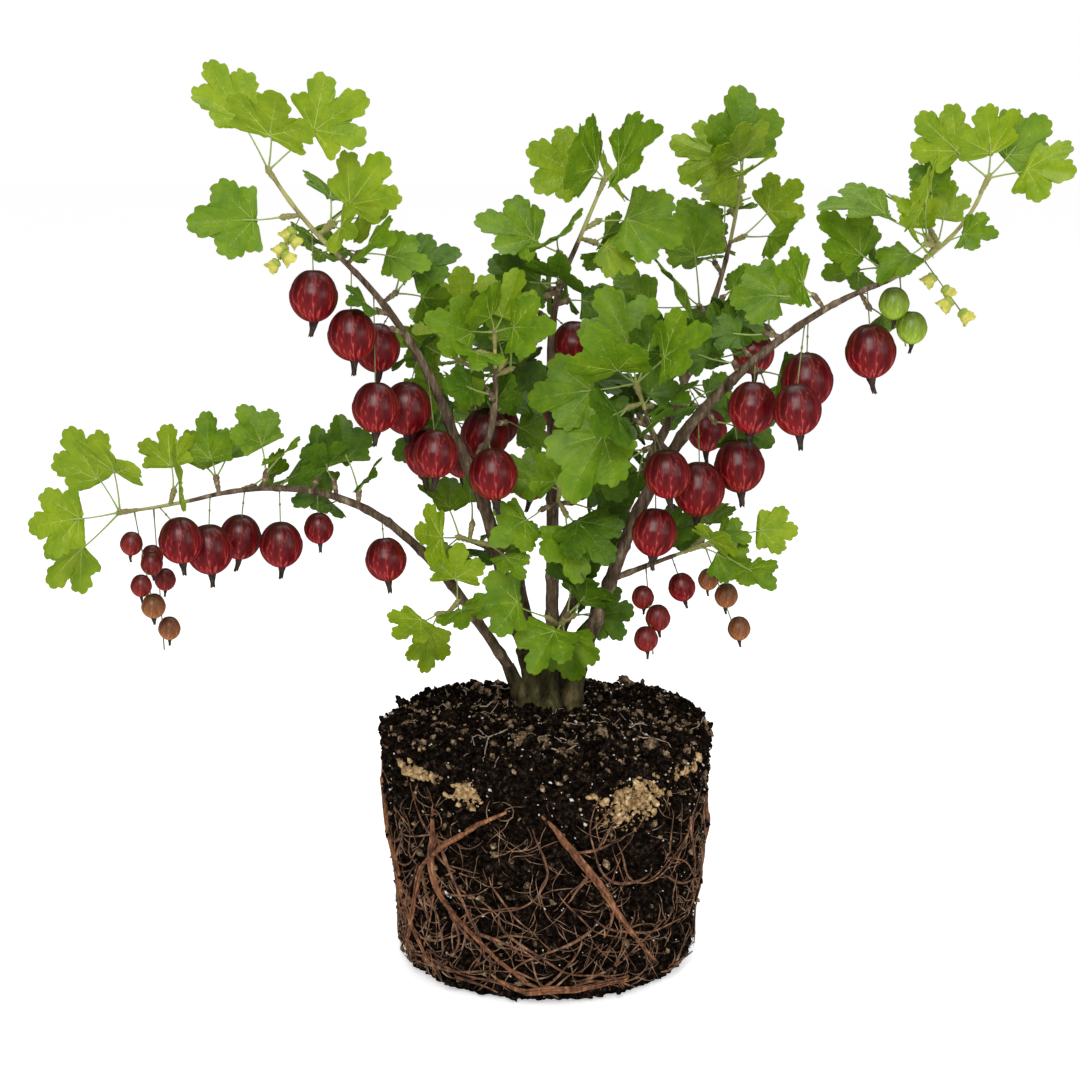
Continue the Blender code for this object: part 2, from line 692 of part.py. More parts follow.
def stump_mesh(extra, below, home):
    """The stump, or its cutter, which is larger all round by extra and starts lower down."""
    profile = []
    for radius, height in STUMP_PROFILE:
        at_foot = height < 1e-6
        radius += extra * (radius > 0)
        profile.append((radius, height - below if at_foot else height + extra))
    if below:
        profile.insert(-2, (profile[-2][0], CLEARANCE))
    mesh = turned_mesh(profile, STUMP_SIDES, home)
    for vert in mesh.vertices:
        turn = math.atan2(vert.co.y, vert.co.x)
        share = 1 - max(vert.co.z, 0) / STUMP_PROFILE[0][1]
        flare = 1 + STUMP_FLARE * share * math.cos(5 * turn)
        vert.co = (vert.co.x * STUMP_WIDE * flare, vert.co.y * STUMP_DEEP * flare, vert.co.z)
    mesh.transform(Matrix.Translation(STUMP_PLACE + Vector((0, 0, CLEARANCE))))
    return mesh


def bough_points(spec):
    """The bough's arc, led back into the stump so that it comes out of the wood."""
    start, turn, rises, length, foot, tip = spec
    points = limb_points(start, turn, rises, length)
    core = Vector((STUMP_PLACE.x, STUMP_PLACE.y, points[0].z - CORE_SINK))
    return [points[0].lerp(core, CORE_SHARE)] + points


def bough_radii(spec, extra=0):
    """One radius for each point of bough_points: the wood inside the stump doesn't taper."""
    foot, tip = spec[-2:]
    count = len(limb_points(*spec[:4]))
    return [foot + extra] + [radius + extra for radius in tapered(foot, tip, count)]


def bough_space(spec, sides, home):
    """The bough, larger all round and longer by the clearance that other solids keep from it."""
    points = bough_points(spec)
    points[-1] = points[-1] + (points[-1] - points[-2]).normalized() * CLEARANCE
    return tube_mesh(points, bough_radii(spec, CLEARANCE), sides, home)


def stem_start(spec):
    """A mass's stem begins inside its bough, whose space is cut away from it."""
    points = limb_points(*BOUGHS[spec["bough"]][:4])
    return point_at(points, spec["beside"]) if "beside" in spec else points[-1]


def outline_once(mesh):
    found = outline_of(mesh, Matrix.Identity(4))
    bpy.data.meshes.remove(mesh)
    return found


def grow_masses(shapes, home):
    """Every mass in turn, each kept clear of all boughs and of the masses before it."""
    limbs = [outline_once(bough_space(spec, BOUGH_SIDES, home)) for spec in BOUGHS.values()]
    masses = {}
    for name, spec in MASSES.items():
        masses[name] = Mass(name, spec, stem_start(spec), shapes, list(limbs))
    for name, mass in masses.items():
        radii = tapered(mass.foot_radius + CLEARANCE, mass.tip_radius + CLEARANCE,
                        len(mass.points))
        stem = outline_once(tube_mesh(mass.points, radii, STEM_SIDES, home))
        mass.woody.append(stem)
        for other in masses.values():
            if other is not mass:
                other.taken.append(stem)
    for name, mass in masses.items():
        mass.grow()
        for other in masses.values():
            if other is not mass:
                other.taken += mass.soft + mass.woody[1:]
    return masses


def main():
    empty_scene()
    home = bpy.data.collections.new("gooseberry_bush")
    cutters = bpy.data.collections.new("cutters")
    for collection in (home, cutters):
        bpy.context.scene.collection.children.link(collection)
    soil = plant_material("compost", (0.020, 0.013, 0.009), 0.95)
    bark = plant_material("bark", (0.130, 0.085, 0.055), 0.80)
    foliage = plant_material("foliage", (0.110, 0.270, 0.030), 0.55)

    root_ball(home, soil)
    part("stump", stump_mesh(0, 0, home), home, bark)
    clear_stump = new_object("stump_cutter", stump_mesh(CLEARANCE, CUTTER_DEPTH, home), cutters)
    clear_boughs = {}
    for name, spec in BOUGHS.items():
        limb = tube_mesh(bough_points(spec), bough_radii(spec), BOUGH_SIDES, home)
        part(name, cut(name, limb, clear_stump, home), home, bark)
        clear_boughs[name] = new_object(name + "_cutter", bough_space(spec, BOUGH_SIDES, home),
                                        cutters)
    for cutter in cutters.objects:
        cutter.hide_render = True
        cutter.display_type = "WIRE"

    shapes = unit_shapes(home)
    for name, mass in grow_masses(shapes, home).items():
        radii = tapered(mass.foot_radius, mass.tip_radius, len(mass.points))
        stem = tube_mesh(mass.points, radii, STEM_SIDES, home)
        stem = cut(name, stem, clear_boughs[mass.spec["bough"]], home)
        pieces = [(shapes[kind], matrix) for kind, matrix in mass.pieces]
        union(name, stem, pieces, home, foliage)
    for mesh in shapes.values():
        bpy.data.meshes.remove(mesh)


if __name__ == "__main__":
    main()
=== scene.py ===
"""The looks of a gooseberry bush on its bare root ball: lobed leaves with raised veins on thin
stalks, striped berries, small yellow flowers, wood with ridged bark, and a crumbling ball of
compost held by its roots. Metres, +Z up, the viewer at -Y.

The bush grows here by the rule that its solids grew by, with the same named sizes and the same
order of random draws, so each leaf and berry takes the place of its plain solid. Then the rule is
carried on to finer twigs within the same reach, and every plain shape gets its detailed form.
"""
import math
import random

import bmesh
import bpy
import numpy as np
from mathutils import Matrix, Vector, noise
from mathutils.bvhtree import BVHTree


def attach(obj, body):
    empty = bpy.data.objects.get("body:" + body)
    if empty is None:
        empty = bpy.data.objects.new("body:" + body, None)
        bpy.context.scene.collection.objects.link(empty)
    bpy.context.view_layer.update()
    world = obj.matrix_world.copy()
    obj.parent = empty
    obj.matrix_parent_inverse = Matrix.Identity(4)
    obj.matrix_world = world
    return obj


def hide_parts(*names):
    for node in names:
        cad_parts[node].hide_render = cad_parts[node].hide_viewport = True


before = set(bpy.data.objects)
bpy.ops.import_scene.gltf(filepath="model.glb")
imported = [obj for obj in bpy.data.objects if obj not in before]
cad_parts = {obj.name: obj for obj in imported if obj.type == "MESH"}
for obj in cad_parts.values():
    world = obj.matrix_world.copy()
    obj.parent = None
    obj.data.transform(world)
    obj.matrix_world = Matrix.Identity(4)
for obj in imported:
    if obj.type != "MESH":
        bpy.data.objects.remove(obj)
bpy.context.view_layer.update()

# Root ball: it keeps the shape of a two-litre nursery pot
BALL_FOOT_RADIUS = 0.072
BALL_RIM_RADIUS = 0.082
BALL_RIM_HEIGHT = 0.111
SOIL_HEIGHT = 0.124
SOIL_FLAT_RADIUS = 0.046
LUMP_DEPTH = 0.0022
LUMP_PITCH = 0.022
ROOT_COUNT = 8
ROOT_STEPS = 5
ROOT_SINK = 0.35
ROOT_END_SINK = 1.6

# Stump: a flared foot on the soil, deeper than it is wide, from which the boughs part
STUMP_PLACE = Vector((0.0, 0.020, SOIL_HEIGHT))
STUMP_WIDE = 0.88
STUMP_DEEP = 1.25
STUMP_FLARE = 0.10
STUMP_PROFILE = (
    (0.0000, 0.0275), (0.0058, 0.0262), (0.0088, 0.0220), (0.0099, 0.0150), (0.0110, 0.0085),
    (0.0138, 0.0030), (0.0170, 0.0000), (0.0000, 0.0000),
)
CORE_SHARE = 0.6
CORE_SINK = 0.004
CLEARANCE = 0.0003
SEAM = 0.000001

# Leaves, as shares of the blade's length from stalk to tip: lobes and notches of the right half
LEAF_RIM = ((1.00, 0), (0.70, 20), (0.86, 44), (0.57, 88))
LEAF_HEEL = 0.04
LEAF_MIDDLE = 0.20
LEAF_THICK = 0.045
LEAF_FOLD = 0.16
LEAF_DROOP = 0.12
LEAF_GRIP = 0.17
STALK_RADIUS = 0.0007

# Fruit and blossom, as shares of the berry's radius
BERRY_SIDES = 6
BERRY_RINGS = (132, 88, 44)
BEAD_SIDES = 5
BEAD_RINGS = (118, 60)
BERRY_TALL = 1.06
BERRY_TAIL = 0.60
TAIL_RADIUS = 0.14
BERRY_HOLD = 0.60
PEDICEL_RADIUS = 0.0006
FLOWER_LONG = 2.6

# The growth rule. Angles are in degrees, and each pair is the least and the most of a share
LIMB_STEP = 0.017
BOUGH_SIDES = 6
STEM_SIDES = 6
SPUR_LENGTH = 0.011
SPUR_RADIUS = 0.0022
BUD_PLACE = 0.75
STALK_START = 0.0012
SPUR_FAN = 46
FAN_DEPTH = 24
TIP_DEPTH = 10
MIDDLE_STALK = 0.7
BLADE_SPREAD = (0.88, 1.08)
LEAF_TWIST = 14
LEAF_NOD = 12
BACK_DEPTH = -30
LIGHT_RISE = 0.5
LIGHT_SPREAD = 0.3
BERRY_SPREAD = (0.93, 1.05)
DROP_SPREAD = (0.8, 1.3)
BEAD_SPREAD = (0.9, 1.1)
BEAD_ASIDE = 0.55
BEAD_SLANT = (0.10, 0.35)
BEAD_RISE = 0.6
ROW_ASIDE = 0.004
SWAY = 0.0015
HANG_SPREAD = 0.1
STRING_BARE = 0.30
STRING_END = 0.985
LOOSE_FIRST = 4
LOOSE_MORE = 5
TRIES = 8
ROOM = 1.06

# A limb is (compass turn, rises along its way in degrees above level, length, foot and tip radius)
BOUGHS = {
    "low_left_bough": ((-0.0105, 0.0115, 0.1300), 196, (58, 56, 39), 0.114, 0.0035, 0.0026),
    "upper_left_bough": ((-0.0052, 0.0133, 0.1380), 204, (66, 78, 61), 0.129, 0.0045, 0.0036),
    "centre_bough": ((0.0030, 0.0195, 0.1396), 95, (91, 92, 90), 0.1163, 0.0042, 0.0035),
    "right_bough": ((0.0112, 0.0095, 0.1285), 346, (71, 70, 55), 0.151, 0.0046, 0.0036),
    "back_right_bough": ((0.0040, 0.0290, 0.1395), 40, (80, 46, 57, 52), 0.137, 0.0038, 0.0030),
    "back_left_bough": ((-0.0048, 0.0275, 0.1380), 122, (72, 60, 62), 0.120, 0.0038, 0.0029),
}

# A mass grows on from its bough's tip, or beside it at a share of the bough's length. Its tip is
# (lean from upright towards +X, fan between leaves, leaves, stalk, blade). Its spurs are (share of
# the stem, lean, lean towards the viewer, leaves, stalk, blade). Its rows of berries are (first
# share, last share, count, drop, radius). Its strings of small fruit, and its blossom, are (share,
# lean, lean towards the viewer, count, length, radius).
MASSES = {
    "low_left_foliage": {
        "bough": "low_left_bough", "stem": (192, (36, 9, -12, -5), 0.130, 0.0026, 0.0011),
        "tip": (-64, 46, 4, 0.028, 0.037),
        "spurs": (
            (0.82, 20, 25, 2, 0.012, 0.025), (0.64, -15, -30, 3, 0.014, 0.022),
            (0.48, 14, 15, 2, 0.014, 0.021), (0.30, 20, -35, 2, 0.014, 0.023),
            (0.12, 5, 25, 2, 0.016, 0.021),
        ),
        "rows": ((0.42, 0.80, 4, 0.013, 0.0112), (0.28, 0.28, 1, 0.010, 0.0070),
                 (0.02, 0.02, 1, 0.009, 0.0098)),
        "strings": ((0.95, 165, 25, 4, 0.046, 0.0056), (0.88, 180, -12, 5, 0.074, 0.0056)),
    },
    "upper_left_foliage": {
        "bough": "upper_left_bough", "stem": (200, (72, 58, 43, 58), 0.156, 0.0034, 0.0014),
        "tip": (4, 34, 3, 0.028, 0.037),
        "spurs": (
            (0.84, -96, 20, 1, 0.014, 0.033), (0.76, 44, -20, 3, 0.018, 0.027),
            (0.64, 48, 20, 3, 0.014, 0.023), (0.48, 54, -25, 3, 0.018, 0.025),
            (0.36, -60, 40, 2, 0.008, 0.017), (0.24, -50, -50, 2, 0.012, 0.023),
        ),
        "rows": ((0.28, 0.44, 2, 0.005, 0.0120), (0.62, 0.79, 2, 0.017, 0.0122),
                 (0.10, 0.10, 1, 0.010, 0.0120), (0.22, 0.22, 1, 0.024, 0.0108)),
        "blossom": ((0.84, 205, 30, 5, 0.026, 0.0028),),
    },
    "left_middle_foliage": {
        "bough": "upper_left_bough", "beside": 0.86,
        "stem": (345, (50, 88, 92), 0.070, 0.0028, 0.0012),
        "tip": (5, 44, 4, 0.012, 0.026),
        "spurs": (
            (0.84, -75, 30, 3, 0.014, 0.022), (0.70, 65, 10, 3, 0.016, 0.026),
            (0.52, -20, 55, 3, 0.012, 0.024), (0.36, 85, -35, 3, 0.018, 0.026),
            (0.16, 125, 20, 3, 0.016, 0.026),
        ),
        "rows": ((0.26, 0.56, 2, 0.006, 0.0120),),
    },
    "inner_left_foliage": {
        "bough": "upper_left_bough", "beside": 0.52,
        "stem": (205, (30, 20), 0.022, 0.0020, 0.0013),
        "tip": (-80, 50, 3, 0.016, 0.026),
        "spurs": ((0.75, 10, -20, 2, 0.014, 0.023),),
    },
    "centre_foliage": {
        "bough": "centre_bough", "stem": (340, (92, 90, 66, 66), 0.131, 0.0034, 0.0012),
        "tip": (-16, 44, 4, 0.011, 0.032),
        "spurs": (
            (0.80, 60, -10, 1, 0.014, 0.030), (0.66, -36, 30, 2, 0.014, 0.028),
            (0.54, 0, 40, 3, 0.010, 0.025), (0.42, -72, 10, 3, 0.018, 0.026),
            (0.30, 60, -30, 3, 0.018, 0.026), (0.14, -20, 50, 3, 0.016, 0.028),
            (0.03, 75, 40, 3, 0.016, 0.030),
        ),
        "rows": ((0.36, 0.46, 2, 0.010, 0.0112),),
    },
    "inner_centre_foliage": {
        "bough": "centre_bough", "beside": 0.66,
        "stem": (285, (40, 60), 0.022, 0.0022, 0.0013),
        "tip": (-10, 60, 3, 0.010, 0.026),
        "spurs": ((0.70, 150, 30, 2, 0.008, 0.033), (0.60, 95, -30, 2, 0.014, 0.027),
                  (0.60, -110, 20, 1, 0.012, 0.026)),
    },
    "upper_right_foliage": {
        "bough": "back_right_bough", "stem": (20, (66, 70, 84), 0.138, 0.0029, 0.0013),
        "tip": (0, 32, 4, 0.014, 0.034),
        "spurs": (
            (0.62, -30, -40, 3, 0.018, 0.026), (0.46, -46, 30, 3, 0.026, 0.032),
            (0.34, 60, -30, 3, 0.018, 0.026), (0.20, -40, -50, 3, 0.018, 0.028),
            (0.06, 30, -60, 3, 0.018, 0.027),
        ),
        "rows": ((0.20, 0.44, 2, 0.010, 0.0112),),
    },
    "right_middle_foliage": {
        "bough": "right_bough", "beside": 0.88,
        "stem": (200, (38, 70, 70), 0.040, 0.0026, 0.0013),
        "tip": (-30, 46, 4, 0.022, 0.034),
        "spurs": (
            (0.75, -105, 30, 3, 0.018, 0.033), (0.50, 50, 50, 3, 0.014, 0.027),
            (0.25, -80, -30, 3, 0.014, 0.026),
        ),
    },
    "right_foliage": {
        "bough": "right_bough", "stem": (350, (51, 43, 35, 22, 43, 72), 0.182, 0.0035, 0.0012),
        "tip": (18, 46, 4, 0.019, 0.033),
        "spurs": (
            (0.78, -40, 20, 2, 0.022, 0.033), (0.66, -60, -25, 3, 0.016, 0.027),
            (0.56, 150, 20, 2, 0.010, 0.024), (0.46, -38, 15, 3, 0.018, 0.028),
            (0.32, -42, -20, 3, 0.018, 0.027), (0.18, -20, 40, 3, 0.014, 0.024),
            (0.06, 150, -10, 3, 0.014, 0.024),
        ),
        "rows": ((0.03, 0.15, 2, 0.024, 0.0122), (0.24, 0.58, 3, 0.015, 0.0124),
                 (0.30, 0.46, 2, 0.028, 0.0108)),
        "strings": ((0.67, 176, 15, 3, 0.034, 0.0078),),
        "blossom": ((0.74, 145, 20, 4, 0.030, 0.0028),),
    },
    "low_right_foliage": {
        "bough": "right_bough", "beside": 0.42, "stem": (352, (24, 20), 0.052, 0.0022, 0.0012),
        "tip": (95, 40, 2, 0.026, 0.020),
        "spurs": ((0.75, 60, 30, 2, 0.010, 0.020), (0.40, 20, -30, 2, 0.010, 0.020)),
        "rows": ((0.62, 0.62, 1, 0.008, 0.0070),),
        "strings": ((0.36, 176, 30, 4, 0.045, 0.0058), (0.95, 160, -10, 5, 0.054, 0.0056)),
    },
    "back_left_foliage": {
        "bough": "back_left_bough", "stem": (118, (66, 76, 80), 0.056, 0.0028, 0.0013),
        "tip": (-10, 50, 5, 0.016, 0.029),
        "spurs": (
            (0.75, -70, -30, 3, 0.018, 0.027), (0.60, 50, -50, 3, 0.018, 0.028),
            (0.40, -30, -60, 3, 0.018, 0.028), (0.25, 75, 0, 3, 0.018, 0.027),
            (0.10, -90, -20, 3, 0.018, 0.027),
        ),
        "rows": ((0.10, 0.60, 3, 0.012, 0.0112),),
    },
    "foot_foliage": {
        "bough": "centre_bough", "beside": 0.16, "stem": (285, (35, 15), 0.021, 0.0018, 0.0012),
        "tip": (200, 60, 2, 0.006, 0.027),
        "spurs": ((0.70, -50, 30, 1, 0.020, 0.026), (0.70, 60, -20, 2, 0.012, 0.022)),
    },
    "low_twig_foliage": {
        "bough": "low_left_bough", "beside": 0.42, "stem": (215, (20, 0), 0.021, 0.0017, 0.0012),
        "tip": (-130, 60, 2, 0.010, 0.022),
        "spurs": ((0.75, 40, 20, 2, 0.012, 0.022),),
    },
}

# Finer growth: how many more twigs each mass bears among the first ones
MORE_TWIGS = {
    "low_left_foliage": 4, "upper_left_foliage": 4, "left_middle_foliage": 8,
    "inner_left_foliage": 3, "centre_foliage": 8, "inner_centre_foliage": 3,
    "upper_right_foliage": 8, "right_middle_foliage": 6, "right_foliage": 6,
    "low_right_foliage": 2, "back_left_foliage": 9, "foot_foliage": 1, "low_twig_foliage": 1,
}
MORE_SHARES = (0.04, 0.84)
MORE_LEAN = 115
MORE_DEPTH = (-85, 30)
MORE_STALK = (0.008, 0.020)
MORE_BLADE = (0.016, 0.027)

# Leaf forms. Angles are degrees from the blade's middle, lengths are shares of the blade's
LEAF_POINTS = 88
LEAF_INSETS = (0.30, 0.32)
# Lobes: (middle, length, half width)
LOBES = ((0, 1.00, 0.205), (44, 0.84, 0.185), (82, 0.56, 0.155))
LOBE_ROUND = 1.16
LOBE_SLIMNESS = (0.86, 1.12)
LOBE_SPREAD = (0.84, 1.04)
LOBE_LENGTHS = (0.93, 1.03)
HEELS = (0.03, 0.09)
TOOTH_DEPTH = 0.034
# A tooth from its notch on: how far out, in tooth depths
TOOTH = (-0.55, 1.0, 0.85, 0.35)
BLADE_THICK = 0.011
# Bends of a blade, each the least and the most: (fold, droop), then (wave, its phase, curl)
YOUNG_BLADE = ((0.10, 0.42), (-0.12, 0.10))
OLDER_BLADE = ((0.02, 0.28), (0.02, 0.30))
BLADE_WAVES = ((0.02, 0.05), (0, math.tau), (-0.07, 0.03))
QUILT = 0.07
VEIN_RADIUS = 0.0145
SIDE_VEIN = 0.0095
# Where side veins start, in shares of a long lobe and of a short one, and their angle
VEIN_STARTS = ((0.36, 0.56, 0.75), (0.55,))
VEIN_ANGLE = 36
VEIN_END = 0.34
FORMS = {"young": 4, "grown": 4, "old": 3}
# Leaves are of the age that their place on the shoot says, give or take the spread
AGE_SPREAD = 0.14
YOUNG_FROM = 0.78
GROWN_FROM = 0.36
# How much older, and so darker, the leaves of the inner masses are: partly the real age of inner
# leaves, and partly painted shade deep in the bush
OLDER_AND_SHADED = {"inner_left_foliage": 0.30, "inner_centre_foliage": 0.42, "foot_foliage": 0.35,
         "low_right_foliage": 0.20, "centre_foliage": 0.12, "left_middle_foliage": 0.34,
         "right_middle_foliage": 0.46}
# Leaves further out on the shoot than this are its tip's
TIP_YOUTH = 0.95
TIP_SIZE = 0.92
TIP_SIZES = {"right_foliage": 0.74, "low_left_foliage": 0.72}
LEAF_SIZE = (0.82, 1.03)
TURNED_OVER = 0.10
LEAF_ROLLED = 0.5
LEAF_ROLL = 16
# A side leaf hides a berry within this share of its length, but for a margin
HIDING_WIDTH = 0.42
VIEW_MARGIN = 0.004

# Wood. Widths are against the solids': boughs, stems half way and at their tips, and stalks
LIMB_WIDTH = 0.80
MIDDLE_WIDTH = 0.74
TIP_WIDTH = 0.66
SPUR_WIDTH = 0.70
STALK_WIDTH = 0.62
PEDICEL_WIDTH = 0.70
BARK_STEP = 0.0022
BARK_SIDES = 14
# Ridges of bark: (cells of noise, height in shares of the radius)
BARK_RIDGES = ((1.4, 0.13), (3.6, 0.08))
RIDGES_AROUND = 1.7
RIDGES_ALONG = 95
NODE_GAP = 0.021
NODE_WIDE = 0.0016
NODE_RISE = 0.20
# Beyond this share of its length a stem is a green shoot, and its spurs are green from the next
SHOOT_SHARE = 0.62
GREEN_SPURS = 0.64
SPUR_FORMS = 5
# How many thorns beside a spur, each as likely as the next
THORNS = (0, 1, 1, 2)
THORN_LENGTH = 0.0038
THORN_SPREAD = (0.6, 1.2)
# The stump's wood reaches a little into the compost: (radius, height above the soil)
STUMP_FOOT = (0.0170, -0.004)
# Ridges of the stump: (cells of noise round it, cells for each metre up it, height)
STUMP_RIDGES = ((3.2, 40, 0.16), (9, 120, 0.08))
# The boughs' feet: how far they spread, how deep they go, and their width against the bough's
FOOT_LEAD = 0.35
FOOT_SINK = 0.004
FOOT_WIDE = 1.28
FOOT_NARROW = 0.90

# Fruit
TAIL_FORMS = 3
TAIL_LEAN = 0.35
BERRY_WIDE = 0.95
# Small fruit is tan below this height, and on the right beyond this place
LOW_BEADS = 0.1975
RIGHT_BEADS = 0.055
# More rows of ripe berries, hung once all the masses have grown
MORE_ROWS = {
    "right_foliage": ((0.10, 0.20, 2, 0.030, 0.0118), (0.40, 0.40, 1, 0.026, 0.0116)),
    "low_left_foliage": ((0.86, 0.86, 1, 0.012, 0.0105),),
    "upper_left_foliage": ((0.20, 0.52, 2, 0.032, 0.0114),),
    "left_middle_foliage": ((0.30, 0.70, 2, 0.026, 0.0116),),
    "centre_foliage": ((0.30, 0.55, 2, 0.020, 0.0108),),
    "right_middle_foliage": ((0.30, 0.60, 2, 0.022, 0.0112),),
}
MORE_ASIDE = 0.013

# Root ball
BALL_PROFILE = (
    (0, SOIL_HEIGHT), (0.024, SOIL_HEIGHT), (SOIL_FLAT_RADIUS, SOIL_HEIGHT), (0.064, 0.1225),
    (0.0760, 0.1195), (0.0812, 0.1155), (BALL_RIM_RADIUS, BALL_RIM_HEIGHT),
    (BALL_FOOT_RADIUS, 0.003), (BALL_FOOT_RADIUS - 0.003, 0.0), (0, 0),
)
SOIL_POINTS = 7
BALL_TURNS = 340
BALL_LATITUDES = 230
# Most latitudes lie above the plain underside: shares of them, and of the profile
LATITUDE_SHARES = (0, 0.94, 1)
PROFILE_SHARES = (0, 0.70, 1)
CRUMB_CELL = 0.0052
CRUMB_RISE = 0.0050
FINE_CELL = 0.45
SOIL_ROUGH = 0.0030
SIDE_ROUGH = 0.0012
ROUGH_PITCH = 0.013
CRUMBS = 3600
CLODS = 150
SPECKS = 760
LUMPS = 1300
# Sizes: (least, how much more at most, and a power that is higher where fewer are large)
CRUMB_SIZE = (0.0006, 0.0021, 1.7)
CLOD_SIZE = (0.0020, 0.0032, 1.5)
SPECK_SIZE = (0.0003, 0.0008, 2)
LUMP_SIZE = (0.0005, 0.0021, 2.2)
# How many of the crumbs are brown on the side and on the soil, and of the clods
BROWN_SHARES = (0.20, 0.46)
BROWN_CLODS = 0.12
SPECKS_ON_SOIL = 0.40
# Patches of pale lumps: (compass turn, height, reach along, reach up, share of the lumps)
PATCHES = ((-60, 0.099, 0.018, 0.0100, 6), (-117, 0.103, 0.006, 0.0050, 2),
           (-138, 0.108, 0.012, 0.0030, 2), (-35, 0.108, 0.010, 0.0035, 1),
           (40, 0.104, 0.014, 0.0060, 3), (128, 0.106, 0.011, 0.0050, 2))

# Roots on the ball. Each pair is the least and the most
ROOT_STEP = 0.003
ROOT_LIFT = 0.0012
ROOT_LOOSE = 0.0007
# Roots creep between these heights, and those with fewer points than the least are left out
ROOT_LOW = 0.0035
ROOT_HIGH = 0.104
LEAST_POINTS = 4
# How much of its curl a creeping root keeps from step to step
CURL_KEPT = 0.75
# Strands of a main root: (share of its radius, how far aside, how far out)
STRANDS = ((0.62, -0.42, 0.10), (0.56, 0.50, 0.00), (0.40, 0.05, 0.62))
STRAND_SWAY = 0.60
MAIN_FORK = 0.055
# Points along a root between its forks, for main roots and then for finer ones
FORK_GAPS = (4, 3)
FORKS_SKIPPED = 0.25
SIDES_SWAPPED = 0.8
# A fork's length and width against its root's, and its angle to it
FORK_LENGTH = (0.35, 0.75)
FORK_WIDTH = (0.45, 0.70)
FORK_ANGLE = (28, 60)
FINE_ROOTS = 46
FINE_RADIUS = (0.0005, 0.0010)
FINE_HEIGHT = (0.040, 0.092)
FINE_LENGTH = (0.05, 0.10)
FINE_FORK = 0.045
FOOT_ROOTS = 26
FOOT_RADIUS = (0.0006, 0.0011)
FOOT_HEIGHT = (0.005, 0.012)
FOOT_COURSE = (84, 98)
FOOT_LENGTH = 0.06
FOOT_FORK = 0.03
HAIR_ROOTS = 420
HAIR_RADIUS = (0.00018, 0.00034)
HAIR_HEIGHT = (0.008, 0.102)
HAIR_LENGTH = (0.010, 0.030)
# Roots on the soil: how many, how many steps, and how far out they start
SOIL_ROOTS = 44
SOIL_ROOT_STEPS = 12
SOIL_RADIUS = (0.0003, 0.0006)
SOIL_START = (0.02, 0.08)

# Finishes. All colours are linear, and noise has most of its values between the ramp's ends
RAMP_START = 0.30
RAMP_END = 0.70
# Leaves: (upper side's two tones), underside, veins
LEAF_TONES = {
    "young": (((0.148, 0.250, 0.004), (0.245, 0.335, 0.009)), (0.205, 0.275, 0.050),
              (0.370, 0.450, 0.090)),
    "grown": (((0.077, 0.166, 0.003), (0.152, 0.252, 0.005)), (0.160, 0.228, 0.045),
              (0.260, 0.360, 0.062)),
    "old": (((0.036, 0.090, 0.002), (0.085, 0.166, 0.004)), (0.108, 0.168, 0.036),
            (0.140, 0.225, 0.036)),
}
# Berries: skin, stripe, shade between stripes, roughness
BERRY_SKINS = {
    "ripe": ((0.150, 0.0025, 0.0045), (0.330, 0.045, 0.042), (0.062, 0.0010, 0.0024), 0.33),
    "red": ((0.190, 0.012, 0.010), (0.300, 0.055, 0.038), (0.105, 0.004, 0.004), 0.38),
    "tan": ((0.230, 0.080, 0.024), (0.340, 0.170, 0.066), (0.160, 0.042, 0.014), 0.38),
    "green": ((0.185, 0.275, 0.018), (0.280, 0.370, 0.050), (0.125, 0.200, 0.012), 0.36),
}
STRIPES = ((0.30, "shade"), (0.45, "skin"), (0.47, "stripe"), (0.49, "skin"), (0.58, "shade"),
           (0.625, "skin"), (0.645, "stripe"), (0.665, "skin"))
STRIPE_STRETCH = 0.26
STRIPE_NOISE = {"Scale": 1.9, "Detail": 3.0, "Roughness": 0.58}
# Painted light on the berries, from the stalk at -1 down to the tail at 1: how bright the colour
# is, darker towards the stalk as painted shade and brighter than the skin towards the tail as a
# painted glow of light shining through
BERRY_PAINTED_LIGHT = {"From Min": -1.0, "From Max": 0.8, "To Min": 0.28, "To Max": 1.55}
BERRY_GLOSS = 0.42
